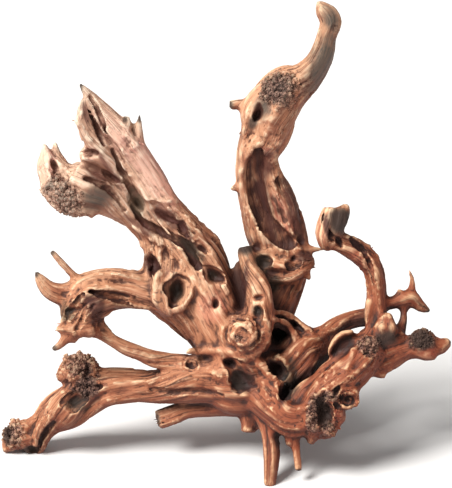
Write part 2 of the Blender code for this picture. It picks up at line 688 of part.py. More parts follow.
def add_limb(mesh, stations, start="round", end="round", turn=0.0, flat=1.0):
    """Lofts a closed limb through its stations into the bmesh."""
    rings = limb_rings(stations, start, end)
    widest = max(radius for _, _, radius, _ in rings)
    sides = round(2 * math.pi * widest / SIDE_LENGTH)
    sides = min(MOST_SIDES, max(FEWEST_SIDES, sides))
    along = [radius for _, _, radius, _ in rings]
    count = max(3, round(2 * math.pi * sum(along) / len(along) / RIB_WIDTH))
    seed = stations[0][0] * 0.37 + stations[0][1] * 0.11
    loops = []
    for place, tangent, radius, run in rings:
        sideways = tangent.cross(Vector((0, 0, 1))).normalized()
        forwards = sideways.cross(tangent).normalized()
        loop = []
        for side in range(sides):
            angle = 2 * math.pi * side / sides
            outward = sideways * math.cos(angle) + forwards * math.sin(angle) * flat
            reach = radius + rib(angle, run, radius, count, turn, seed)
            loop.append(mesh.verts.new(stand(*(place + outward * reach))))
        loops.append(loop)
    for near, far in zip(loops, loops[1:]):
        for side in range(sides):
            after = (side + 1) % sides
            mesh.faces.new((near[side], near[after], far[after], far[side]))
    mesh.faces.new(reversed(loops[0]))
    mesh.faces.new(loops[-1])


def front_of(tree, across, up):
    """How deep the side facing the front lies at a place on the sheet."""
    eye = stand(across, up, -FACE_REACH)
    sight = (stand(across, up, FACE_REACH) - eye).normalized()
    hit, _, _, distance = tree.ray_cast(eye, sight)
    return distance / MM - FACE_REACH if hit else None


def laid_stations(tree, points, sink):
    """Stations that follow the face seen from the front, evened out so that they don't jump.

    They lie below the face by sink, in radii.
    """
    rows, _ = curve_through([(across, up, 0, radius) for across, up, radius in points])
    rows = rows[::STRAND_STEP] + [rows[-1]]
    depths = [front_of(tree, row.x, row.y) for row in rows]
    known = sorted(depth for depth in depths if depth is not None)
    middle = known[len(known) // 2]
    depths = [middle if depth is None else depth for depth in depths]
    for _ in range(EVENING_PASSES):
        inner = [(a + 2 * b + c) / 4 for a, b, c in zip(depths, depths[1:], depths[2:])]
        depths = [depths[0], *inner, depths[-1]]
    return [
        (row.x, row.y, depth + row.w * sink, row.w) for row, depth in zip(rows, depths)
    ]


def hollow_frame(tree, hollow):
    """Centre on the front face, and the long and the short way of a hollow."""
    turn = math.radians(hollow["turn"])
    long_way = Vector((math.sin(turn), math.cos(turn), 0)) * hollow["half"][1]
    short_way = Vector((math.cos(turn), -math.sin(turn), 0)) * hollow["half"][0]
    centre = Vector((*hollow["at"], front_of(tree, *hollow["at"])))
    return centre, long_way, short_way


def add_rim(mesh, tree, hollow):
    """A raised ring of new wood round a hole."""
    centre, long_way, short_way = hollow_frame(tree, hollow)
    rim = hollow["rim"]
    grown = 1 + rim * RIM_OFFSET / min(hollow["half"])
    points = []
    for index in range(RIM_POINTS + 1):
        angle = 2 * math.pi * index / RIM_POINTS
        place = centre + (long_way * math.cos(angle) + short_way * math.sin(angle)) * grown
        points.append((place.x, place.y, rim))
    add_limb(mesh, laid_stations(tree, points, RIM_SINK))


def add_cutter(mesh, tree, hollow):
    """A deep pebble inside a wide shallow one, which take a hollow with a worn mouth."""
    centre, long_way, short_way = hollow_frame(tree, hollow)
    deep = hollow["deep"]
    shallow = min(WIDE_DEPTH * hollow["half"][0], deep)
    for grown, depth in ((DEEP_SHARE, deep), (WIDE_SHARE, shallow)):
        made = bmesh.ops.create_icosphere(mesh, subdivisions=4, radius=1.0)
        for vertex in made["verts"]:
            spot = vertex.co.copy()
            wobble = grown * (1 + UNEVEN * noise.noise(spot * 1.3 + centre / 9))
            place = centre + (short_way * spot.x + long_way * spot.y) * wobble
            place.z += (depth if spot.z > 0 else MOUTH_REACH) * spot.z
            vertex.co = stand(*place)


def new_object(name, mesh):
    """An object made from the bmesh, with its faces pointing out."""
    bmesh.ops.recalc_face_normals(mesh, faces=mesh.faces)
    data = bpy.data.meshes.new(name)
    mesh.to_mesh(data)
    mesh.free()
    item = bpy.data.objects.new(name, data)
    bpy.context.scene.collection.objects.link(item)
    return item


def wood_material():
    """Bare weathered wood, pink tan and dull."""
    material = bpy.data.materials.new("weathered_root_wood")
    material.use_nodes = True
    surface = material.node_tree.nodes["Principled BSDF"]
    surface.inputs["Base Color"].default_value = (0.42, 0.22, 0.14, 1)
    surface.inputs["Roughness"].default_value = 0.75
    surface.inputs["Metallic"].default_value = 0.0
    return material


def add_remesh(item, voxel):
    """Fuses all that overlaps into one closed skin."""
    modifier = item.modifiers.new("fuse", "REMESH")
    modifier.mode = "VOXEL"
    modifier.voxel_size = voxel
    modifier.use_smooth_shade = True


def add_offset(item, distance):
    """Moves the skin out, or in where the distance is negative."""
    modifier = item.modifiers.new("offset", "DISPLACE")
    modifier.direction = "NORMAL"
    modifier.mid_level = 0.0
    modifier.strength = distance


def add_boolean(item, helper, operation):
    """Joins the helper to the object or cuts it away, and keeps the helper out of the model."""
    modifier = item.modifiers.new(helper.name, "BOOLEAN")
    modifier.operation = operation
    modifier.solver = "EXACT"
    modifier.object = helper
    helper.hide_render = True
    helper.display_type = "WIRE"


def add_wear(item, factor, times):
    """Evens out the skin."""
    modifier = item.modifiers.new("wear", "SMOOTH")
    modifier.factor = factor
    modifier.iterations = times


def triangle_count(item):
    """How many triangles the object has with its modifiers."""
    bpy.context.view_layer.update()
    evaluated = item.evaluated_get(bpy.context.evaluated_depsgraph_get())
    mesh = evaluated.to_mesh()
    mesh.calc_loop_triangles()
    count = len(mesh.loop_triangles)
    evaluated.to_mesh_clear()
    return count


def add_thinning(item, triangles):
    """Drops the triangles that show least, until about this many are left."""
    ratio = triangles / triangle_count(item)
    modifier = item.modifiers.new("thin_out", "DECIMATE")
    modifier.ratio = ratio


def ground_cut():
    """What lies under the ground, which cuts the three feet flat."""
    mesh = bmesh.new()
    bmesh.ops.create_cube(mesh, size=1.0)
    bmesh.ops.translate(mesh, verts=mesh.verts, vec=(0, 0, -0.5))
    return new_object("ground_cut", mesh)


def fused(name, mesh):
    """A helper whose overlapping pieces are fused into one skin."""
    helper = new_object(name, mesh)
    add_remesh(helper, HELPER_VOXEL)
    return helper


def strands_on(tree):
    """Ribs that stand on the face, and the rims of the holes."""
    mesh = bmesh.new()
    for strand in LAID.values():
        add_limb(mesh, laid_stations(tree, strand["points"], strand["sink"]))
    for hollow in HOLLOWS.values():
        if "rim" in hollow:
            add_rim(mesh, tree, hollow)
    return fused("strands", mesh)


def hollows_in(tree):
    """Cutters of the hollows and the furrows."""
    mesh = bmesh.new()
    for hollow in HOLLOWS.values():
        add_cutter(mesh, tree, hollow)
    for furrow in FURROWS.values():
        add_limb(mesh, laid_stations(tree, furrow["points"], furrow["sink"] - 1))
    return fused("hollows", mesh)


def build_root():
    """The whole root: limbs fused with soft joins, strands laid on, hollows cut, feet cut flat."""
    mesh = bmesh.new()
    for group in LIMB_GROUPS:
        for limb in group.values():
            add_limb(mesh, **limb)
    tree = BVHTree.FromBMesh(mesh)
    root = new_object("root_wood", mesh)
    add_remesh(root, VOXEL)
    add_offset(root, FILLET)
    add_remesh(root, VOXEL)
    add_offset(root, -FILLET)
    add_remesh(root, VOXEL)
    add_boolean(root, strands_on(tree), "UNION")
    add_remesh(root, VOXEL)
    add_boolean(root, hollows_in(tree), "DIFFERENCE")
    add_remesh(root, VOXEL)
    add_wear(root, factor=0.5, times=2)
    add_thinning(root, TRIANGLES_KEPT)
    add_boolean(root, ground_cut(), "DIFFERENCE")
    root.data.materials.append(wood_material())


clear_scene()
build_root()
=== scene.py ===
"""Coral driftwood: one weathered root, dressed with its grain, hollows, crust and colours."""

import math

import bmesh
import bpy
import numpy as np
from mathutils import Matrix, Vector, noise
from mathutils.bvhtree import BVHTree


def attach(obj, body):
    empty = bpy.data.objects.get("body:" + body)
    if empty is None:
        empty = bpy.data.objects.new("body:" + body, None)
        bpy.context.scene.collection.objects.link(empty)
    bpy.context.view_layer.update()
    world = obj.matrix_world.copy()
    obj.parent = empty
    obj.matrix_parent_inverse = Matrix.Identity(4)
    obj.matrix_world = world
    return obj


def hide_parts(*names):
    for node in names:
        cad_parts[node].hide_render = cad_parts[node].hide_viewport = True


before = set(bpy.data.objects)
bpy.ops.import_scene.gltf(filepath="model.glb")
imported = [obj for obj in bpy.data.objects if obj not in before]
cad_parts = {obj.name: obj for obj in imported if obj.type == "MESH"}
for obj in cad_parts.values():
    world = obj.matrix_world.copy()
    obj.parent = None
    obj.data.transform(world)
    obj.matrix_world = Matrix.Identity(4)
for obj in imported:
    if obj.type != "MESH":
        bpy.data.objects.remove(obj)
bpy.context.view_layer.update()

# The studio: a pale floor, soft light from the upper left and a white room, seen by a camera
# that looks down at the root. The root's limbs are laid out in millimetres on an upright sheet
# (across, up, deep behind it) that leans back by LEAN, square to the camera's sight.
MM = 0.001
LEAN = math.radians(20)
SHEET_CENTRE = (226.0, 244.0)
SIGHT_LENGTH = 2000.0
SHIFT = Vector((-0.2235, -0.0908, 0.0))
PICTURE_WIDTH = 452.0
SENSOR_WIDTH = 36.0

KEY_STRENGTH = 4.8
KEY_SPREAD = math.radians(24)
KEY_COLOUR = (1.0, 0.975, 0.94)
KEY_FROM = Vector((-1.15, -0.85, 1.6))
ROOM_COLOUR = (1.0, 0.985, 0.97, 1.0)
ROOM_STRENGTH = 0.3
FLOOR_HALF = 4.0
FLOOR_COLOUR = (0.86, 0.86, 0.86, 1.0)
FLOOR_ROUGHNESS = 0.9


def stand(across, up, deep):
    """A point of the sheet, in millimetres, as a point of the standing root in metres."""
    growth = 1 + deep / SIGHT_LENGTH
    across = SHEET_CENTRE[0] + (across - SHEET_CENTRE[0]) * growth
    up = SHEET_CENTRE[1] + (up - SHEET_CENTRE[1]) * growth
    forward = up * math.sin(LEAN) + deep * math.cos(LEAN)
    height = up * math.cos(LEAN) - deep * math.sin(LEAN)
    return Vector((across, forward, height)) * MM + SHIFT


def aim(item, place, target):
    """Puts a camera or a lamp in place, looking at the target."""
    item.location = place
    item.rotation_euler = (target - place).to_track_quat("-Z", "Y").to_euler()
    bpy.context.scene.collection.objects.link(item)


eye = stand(*SHEET_CENTRE, -SIGHT_LENGTH)
centre = stand(*SHEET_CENTRE, 0)
lens = bpy.data.cameras.new("camera")
lens.sensor_fit = "HORIZONTAL"
lens.sensor_width = SENSOR_WIDTH
lens.lens = SENSOR_WIDTH * SIGHT_LENGTH / PICTURE_WIDTH
camera = bpy.data.objects.new("camera", lens)
aim(camera, eye, centre)
bpy.context.scene.camera = camera

key = bpy.data.lights.new("key_light", "SUN")
key.energy = KEY_STRENGTH
key.angle = KEY_SPREAD
key.color = KEY_COLOUR
aim(bpy.data.objects.new("key_light", key), centre + KEY_FROM, centre)

room = bpy.data.worlds.new("white_room")
room.use_nodes = True
sky = room.node_tree.nodes["Background"]
sky.inputs["Color"].default_value = ROOM_COLOUR
sky.inputs["Strength"].default_value = ROOM_STRENGTH
bpy.context.scene.world = room
bpy.context.scene.view_settings.view_transform = "Standard"

floor_mesh = bpy.data.meshes.new("floor")
corners = [(x * FLOOR_HALF, y * FLOOR_HALF, 0) for x, y in ((-1, -1), (1, -1), (1, 1), (-1, 1))]
floor_mesh.from_pydata(corners, [], [(0, 1, 2, 3)])
floor_paint = bpy.data.materials.new("pale_floor")
floor_paint.use_nodes = True
paint = floor_paint.node_tree.nodes["Principled BSDF"]
paint.inputs["Base Color"].default_value = FLOOR_COLOUR
paint.inputs["Roughness"].default_value = FLOOR_ROUGHNESS
floor_mesh.materials.append(floor_paint)
floor = bpy.data.objects.new("floor", floor_mesh)
bpy.context.scene.collection.objects.link(floor)

# The wood: a root that grew as one piece and was worn by water, sand and weather. Its limbs
# are lofted through stations and fused, strands of grain stand on it, hollows are worn into
# it, and its skin is split along the grain into finer strands.

# How fine the form is, how wide the fillets between limbs are, how many triangles are kept,
# how far and how finely the edges of strands and hollows are made ragged, and how much and how
# often the form is evened out.
VOXEL = 1.5 * MM
HELPER_VOXEL = 1.2 * MM
FILLET = 1.5 * MM
TRIANGLES_KEPT = 190000
RAGGED = 1.6 * MM
RAGGED_SIZE = 12 * MM
RAGGED_SHIFTS = (3.7, 19.3, 41.9)
WEAR = 0.5
WEAR_TIMES = 1

# The ribs of a limb, in millimetres and shares of its radius: size, drift and sharpness. The
# noise that varies them is read on a circle round the limb, at a scale and a shift of its own
# for their height and for the planes between them. Its start comes from the first station.
RIB_WIDTH = 15.0
RIB_DEPTH = 5.5
RIB_SHARE = 0.3
RIB_LENGTH = 60.0
RIB_DRIFT = 1.6
RIB_SHARPNESS = 0.8
RIB_MEAN = 0.7
PLANES = 0.3
RIB_ROUND = 0.8
RIB_LEAST = 0.7
RIB_SWING = 0.9
HEIGHT_SCALE = 1.3
HEIGHT_SHIFT = Vector((0, 5.3, 0))
PLANE_SCALE = 0.9
PLANE_SHIFT = Vector((3.1, 0, 0))
START_SHARES = (0.37, 0.11)
CENTIMETRE = 10

# Each limb runs through its stations: across, up, deep and radius. "end" says how its last
# station closes (round, point or cut) and "start" how its first does. "turn" is the twist of
# its ribs in degrees a centimetre, and "flat" is its thickness over its width.
TRUNK = {
    "right_stem": dict(start="point", turn=4, stations=[
        (79, 405, -34, 1.6), (84, 399, -34, 3.6), (91, 390, -33, 6.5), (104, 374, -31, 10),
        (119, 356, -27, 12.5), (132, 338, -22, 14.5), (146, 315, -14, 14.5), (164, 283, -4, 16.5),
        (179, 262, 4, 20), (192, 244, 12, 22.5), (201, 229, 18, 24.5), (209, 203, 24, 27),
        (218, 172, 30, 31), (231, 142, 36, 38), (240, 116, 40, 38),
    ]),
    "left_stem": dict(turn=-9, stations=[
        (50, 318, -18, 14), (62, 303, -15, 23), (80, 298, -12, 25), (104, 295, -6, 20.5),
        (124, 283, 0, 17), (142, 266, 6, 15), (155, 250, 11, 16), (162, 232, 15, 19.5),
        (166, 212, 18, 24), (172, 194, 22, 25.5), (186, 178, 26, 21), (202, 164, 30, 23),
        (220, 146, 34, 28),
    ]),
    "back_stem": dict(turn=6, stations=[
        (150, 292, 14, 12), (170, 262, 24, 18), (186, 232, 34, 23), (202, 200, 44, 27),
        (220, 165, 52, 31), (240, 130, 56, 34),
    ]),
    "body": dict(turn=3, stations=[
        (202, 117, 36, 22), (224, 114, 37, 35), (247, 110, 38, 39), (270, 112, 37, 34),
        (289, 121, 35, 28), (307, 136, 35, 25), (323, 143, 38, 17), (338, 160, 42, 9.5),
        (352, 167, 43, 8), (372, 171, 40, 8.5),
    ]),
    "shoulder_arch": dict(stations=[
        (258, 170, 22, 12), (274, 170, 24, 9), (288, 165, 27, 9.5), (302, 156, 31, 10),
        (316, 146, 36, 13),
    ]),
    "body_back": dict(turn=5, stations=[
        (212, 130, 58, 20), (236, 122, 66, 28), (262, 126, 66, 30), (286, 138, 58, 26),
        (306, 142, 50, 18),
    ]),
}

UPPER_LEFT = {
    "stem_flank": dict(start="point", turn=5, stations=[
        (83, 389, -39, 2.5), (83, 375, -38, 6.5), (86, 361, -36, 9), (93, 349, -32, 10),
        (104, 336, -27, 11.5), (118, 321, -19, 12), (134, 302, -10, 12), (150, 280, 0, 12),
    ]),
    "spike": dict(end="point", stations=[
        (137, 344, -22, 9), (138, 357, -23, 6), (139.3, 367, -24, 3), (139.8, 376, -24, 1.3),
    ]),
    "shoulder_bump": dict(stations=[(122, 352, -30, 8), (126, 364, -30, 6.5), (127, 370, -30, 3.5)]),
    "cut_stub": dict(end="cut", stations=[(106, 328, -20, 10), (94, 332, -26, 8), (82, 334, -31, 6.5)]),
    "flank_lump": dict(stations=[(88, 362, -36, 6), (79, 364, -39, 3.6)]),
    "outer_horn": dict(stations=[
        (58, 304, -18, 14), (48, 324, -20, 9.5), (45, 336, -21, 5.5), (44, 343, -21, 3),
    ]),
    "inner_horn": dict(stations=[
        (68, 302, -14, 15), (62, 320, -14, 9), (57, 333, -14, 5), (55, 345, -14, 2.4),
    ]),
    "outer_edge": dict(stations=[
        (46, 331, -18, 7.5), (43, 321, -16, 7.5), (49, 306, -15, 9), (58, 292, -14, 9),
    ]),
    "under_nub": dict(stations=[(86, 286, -14, 9), (91, 274, -14, 4.5), (92, 270, -14, 2.5)]),
    "edge_lump_high": dict(stations=[(150, 254, 10, 8), (141, 256, 8, 3.4)]),
    "edge_lump_low": dict(stations=[(152, 242, 12, 10), (143, 244, 10, 5)]),
}

TALL_LIMB = {
    "tall_limb": dict(start="round", turn=-3, stations=[
        (318, 486, -43, 2.6), (323, 479, -42, 8), (331, 467, -41, 11), (327, 453, -39, 10.5),
        (323, 436, -36, 12.3), (316, 421, -32, 13.5), (304, 407, -27, 16.5), (285, 394, -21, 24.5),
        (271, 376, -15, 29), (265, 357, -10, 25.5), (256, 338, -2, 20), (255, 322, 4, 20),
        (258, 307, 11, 22), (265, 287, 18, 26), (270, 273, 24, 27.5), (275, 257, 29, 28),
        (280, 241, 34, 27.5), (282, 222, 39, 26), (277, 200, 44, 24), (268, 176, 46, 24),
        (256, 150, 44, 28),
    ]),
    "bulge": dict(stations=[
        (255, 348, -12, 12), (270, 372, -24, 19), (282, 393, -29, 18), (296, 408, -30, 9),
    ]),
    "left_peg": dict(end="cut", stations=[
        (255, 383, -14, 9), (243, 384, -17, 5.6), (230, 382.5, -20, 5.8),
    ]),
    "left_nub": dict(stations=[(244, 301, 8, 8), (236, 300, 7, 4.5), (230, 299, 6, 2)]),
    "flap": dict(stations=[
        (264, 226, 30, 22), (284, 222, 24, 20), (300, 225, 22, 14), (309, 226, 22, 8),
    ]),
    "flap_spike": dict(end="point", stations=[
        (298, 238, 24, 8), (308, 239, 24, 4.4), (318, 238.8, 23, 2.6), (327, 238.4, 22, 1.2),
    ]),
    "flap_tooth": dict(end="point", stations=[(302, 220, 24, 9), (308, 212, 24, 4), (310.5, 206, 24, 1)]),
}

FINGER = {
    "finger": dict(end="cut", turn=14, stations=[
        (252, 150, 8, 20), (257, 170, 4, 15), (259, 186, 4, 12.5), (257.5, 198, 6, 13),
        (254, 211, 8, 11.6), (249, 224, 9, 9.6), (246, 235, 9, 8.6), (244.5, 241, 9, 7.6),
    ]),
    "finger_side": dict(turn=6, stations=[
        (247, 166, 18, 9), (243, 184, 19, 7), (239, 203, 19, 6), (237.5, 219, 19, 4.6), (238, 227, 18, 2),
    ]),
    "finger_fork": dict(stations=[
        (266, 160, -2, 9), (270, 178, 2, 5), (268, 192, 6, 5), (264, 208, 8, 4),
    ]),
    "swirl_knob": dict(turn=20, stations=[(247, 150, 22, 24), (247, 154, 6, 22.5), (247, 155, -8, 18)]),
}

RIGHT_SIDE = {
    "hooked_limb": dict(turn=6, stations=[
        (374, 150, 20, 11), (377, 170, 23, 11), (376, 188, 25, 10.8), (375, 203, 24, 10.8),
        (372, 218, 22, 11.3), (363, 231, 18, 12.3), (351, 240, 13, 11.8), (340, 245, 9, 10.5),
        (330, 250, 5, 12),
    ]),
    "hooked_foot": dict(stations=[(371, 186, 18, 6), (368, 173, 16, 4.5), (367, 162, 14, 2)]),
    "hook_knob": dict(end="cut", stations=[
        (327, 244, 4, 9), (328, 254, 2, 12.5), (332, 267, 1, 14), (334, 279, 1, 12.5),
    ]),
    "hook_nub": dict(stations=[(338, 268, 4, 9), (345, 279, 3, 6.5), (346, 282, 3, 4)]),
    "bark_spur_high": dict(stations=[(364, 236, 16, 7), (371, 244, 15, 1.6)]),
    "bark_spur_mid": dict(stations=[(372, 226, 18, 8), (379, 233, 18, 2)]),
    "bark_spur_low": dict(stations=[(378, 202, 22, 7), (385, 206, 22, 1.8)]),
    "twig": dict(turn=8, stations=[
        (376, 184, 28, 9), (392, 185.5, 31, 6.8), (402, 188, 33, 8.5), (411, 190, 35, 9),
        (419, 183, 36, 7), (425, 179, 37, 5), (429, 177, 37, 2.8),
    ]),
    "twig_bump": dict(stations=[(401, 191, 32, 6), (399, 198, 31, 2.6)]),
    "twig_spike": dict(end="point", stations=[
        (412, 194, 35, 5), (412.7, 207, 35, 3.4), (411, 214, 35, 2.6), (407.6, 223, 35, 1.3),
    ]),
    "down_twig": dict(stations=[
        (404, 186, 34, 4.5), (404, 174, 32, 3.8), (402, 163, 30, 5), (396, 152, 27, 9),
    ]),
    "right_mass": dict(stations=[(366, 140, 20, 15), (382, 146, 20, 15), (397, 149, 22, 11.5)]),
    "round_knob": dict(stations=[(384, 150, 18, 13), (386, 163, 14, 12.5), (386, 169, 13, 8.5)]),
    "far_limb": dict(turn=8, stations=[
        (376, 128, 18, 15), (392, 132, 20, 11.5), (405, 137, 21, 8.5), (417, 141, 21, 10),
        (428, 143, 22, 9.5),
    ]),
    "far_knob": dict(stations=[
        (412, 143, 22, 8), (418, 145, 20, 13.5), (425, 145, 20, 13.5), (431, 142, 20, 10),
    ]),
    "far_under": dict(stations=[(418, 138, 19, 9), (428, 134, 18, 8), (434, 131, 18, 4)]),
    "far_peg": dict(end="cut", stations=[(430, 141, 22, 9.5), (440, 141, 23, 8), (450, 146.5, 25, 4)]),
    "far_spur": dict(end="point", stations=[(374, 120, 16, 9), (382, 113, 14, 4.5), (387, 110, 13, 1)]),
    "far_spur_high": dict(end="point", stations=[
        (384, 124, 17, 8), (391, 118, 16, 3.5), (392, 116, 16, 1),
    ]),
}

FRONT_RIGHT = {
    "front_limb": dict(turn=-5, stations=[
        (370, 150, 16, 12), (365, 136, 11, 16.5), (354, 120, 5, 19.5), (340, 106, 1, 21),
        (327, 93, 0, 21.5), (318, 76, 2, 22), (314, 60, 4, 15), (311, 47, 4, 5),
    ]),
    "dark_knob": dict(end="cut", stations=[(318, 84, 8, 22), (323, 76, -4, 21), (327, 71, -15, 18)]),
    "dark_knob_low": dict(stations=[(322, 62, 4, 16), (329, 58, -8, 10), (333, 54, -9, 5)]),
    "eye_knob": dict(end="cut", stations=[(344, 98, 2, 15), (347, 91, -8, 13), (348, 89, -15, 11)]),
    "side_knob": dict(stations=[(335, 78, 0, 10), (340, 70, -4, 7)]),
    "pink_bulge": dict(stations=[
        (258, 98, 26, 24), (273, 82, 14, 20), (287, 71, 7, 18.5), (300, 70, 4, 17), (314, 74, 3, 18),
    ]),
    "limb_lip": dict(stations=[
        (288, 76, 4, 9), (294, 87, 2, 8), (301, 98, 2, 7), (311, 105, 3, 7), (322, 108, 4, 8),
    ]),
    "crust_patch": dict(stations=[(360, 140, 4, 10), (370, 143, 3, 12), (376, 138, 6, 9)]),
    "splinter": dict(stations=[
        (352, 156, 2, 3.5), (342, 154, 0, 3.6), (333, 145, -1, 3.2), (327.5, 132, 0, 1.6),
    ]),
    "splinter_plate": dict(flat=0.7, stations=[
        (354, 148, 10, 9), (343, 146, 9, 8.5), (337, 134, 8, 7), (338, 124, 8, 6),
    ]),
}

LOW_ROOTS = {
    "low_left_limb": dict(turn=6, stations=[
        (232, 108, 36, 25), (207, 108, 35, 21.5), (186, 107, 36, 20), (168, 104, 38, 17),
        (150, 101.5, 40, 15.5), (125, 102, 43, 17.8), (101, 100.5, 48, 20), (80, 92, 54, 21.5),
        (61, 78, 61, 21.5), (48, 66, 67, 17.5), (39, 55, 72, 16), (34, 43, 76, 13), (32, 36, 78, 8),
    ]),
    "low_left_lobe": dict(stations=[
        (40, 57, 74, 12), (26, 54, 74, 15), (14, 50, 74, 13), (8, 45, 74, 8),
    ]),
    "lobe_tip": dict(stations=[(18, 56, 72, 10), (14, 66, 71, 4.5), (11.5, 71, 71, 1.4)]),
    "lobe_corner": dict(stations=[(14, 54, 72, 8), (4, 57, 71, 3)]),
    "lobe_heel": dict(stations=[(14, 44, 72, 8), (5, 38, 73, 4)]),
    "limb_crest": dict(stations=[(48, 70, 58, 8), (36, 66, 64, 5), (30, 67, 66, 2.5)]),
    "crust_knob": dict(stations=[
        (64, 112, 50, 9), (71, 118, 46, 13.5), (84, 118, 46, 14), (93, 113, 48, 11),
    ]),
    "crust_lump_a": dict(stations=[(74, 120, 44, 7), (68, 127, 40, 6), (66, 131, 39, 3)]),
    "crust_lump_b": dict(stations=[(80, 122, 42, 7), (80, 132, 40, 5.5), (79, 135, 39, 3)]),
    "crust_lump_c": dict(stations=[(86, 118, 40, 7), (92, 124, 38, 5.5), (94, 126, 38, 3)]),
    "crust_lump_d": dict(stations=[(76, 114, 38, 8), (72, 110, 34, 6), (71, 108, 33, 3)]),
    "back_stub": dict(end="cut", stations=[
        (232, 86, 46, 16), (208, 81, 48, 10), (186, 79, 50, 9.5), (169, 73, 52, 10.3),
        (157.5, 69, 53, 9.8),
    ]),
    "short_stub": dict(end="cut", stations=[(246, 88, 38, 16), (248, 68, 36, 9), (248, 56, 35, 8)]),
    "tap_root": dict(stations=[
        (262, 100, 32, 24), (267, 74, 26, 14), (270, 54, 18, 10), (271.5, 36, 11, 9.4), (271, 20, 7, 7.8),
        (270, 4, 7, 6.2),
    ]),
    "collar": dict(end="cut", stations=[(290, 68, 12, 13), (292, 54, 11, 9.5), (292.5, 43, 10, 8)]),
    "second_peg": dict(end="cut", stations=[(294, 56, 10, 6), (296, 38, 9, 4.9), (298.5, 17.5, 7, 4.4)]),
    "back_root": dict(turn=6, stations=[
        (262, 124, 60, 26), (280, 114, 88, 20), (300, 96, 116, 16.5), (314, 82, 138, 15),
        (322, 72, 154, 13.5), (325, 66, 162, 11),
    ]),
}

MIDDLE_LEFT = {
    "middle_limb": dict(turn=-4, stations=[
        (178, 196, 24, 24), (150, 196, 19, 20.5), (126, 199, 14, 20), (105, 198, 10, 22.5),
        (90, 190, 7, 25), (80, 177, 4, 21), (77, 163, 3, 15),
    ]),
    "fin": dict(flat=0.6, stations=[
        (76, 194, 4, 16), (61, 194, 1, 13), (49, 199, -3, 10), (41, 208, -6, 6.5), (36.5, 215.5, -8, 3),
    ]),
    "long_peg": dict(stations=[
        (82, 204, 4, 6), (73, 213, 1, 3.8), (62, 225, -3, 3.6), (52.5, 236, -6, 3.2),
    ]),
    "ledge": dict(flat=0.8, stations=[(88, 164, -4, 12), (72, 161, -5, 8.5), (59, 159, -5, 4.5)]),
    "hook_twig": dict(stations=[(74, 157, 0, 8), (65, 149, -1, 5), (60, 143, -2, 4), (54, 139, -3, 3.3)]),
    "under_bump": dict(stations=[(76, 158, 0, 8), (73, 148, 0, 4.8)]),
    "under_lump": dict(stations=[(86, 164, 5, 12), (93, 157, 6, 8.5)]),
    "hair_splinter": dict(end="point", stations=[
        (96, 175, 6, 5), (106, 163, 6, 2.4), (117, 153.5, 7, 0.9),
    ]),
    "thin_root": dict(turn=10, stations=[
        (86, 163, 8, 9), (99, 155, 10, 6.2), (113, 147, 12, 6.2), (126, 139.5, 15, 7.2),
        (140, 134, 18, 7.8), (152, 129, 21, 9.5), (167, 127, 25, 10.5), (184, 125, 27, 12),
        (205, 120, 30, 15),
    ]),
}

LIMB_GROUPS = (
    TRUNK, UPPER_LEFT, TALL_LIMB, FINGER, RIGHT_SIDE, FRONT_RIGHT, LOW_ROOTS, MIDDLE_LEFT,
)

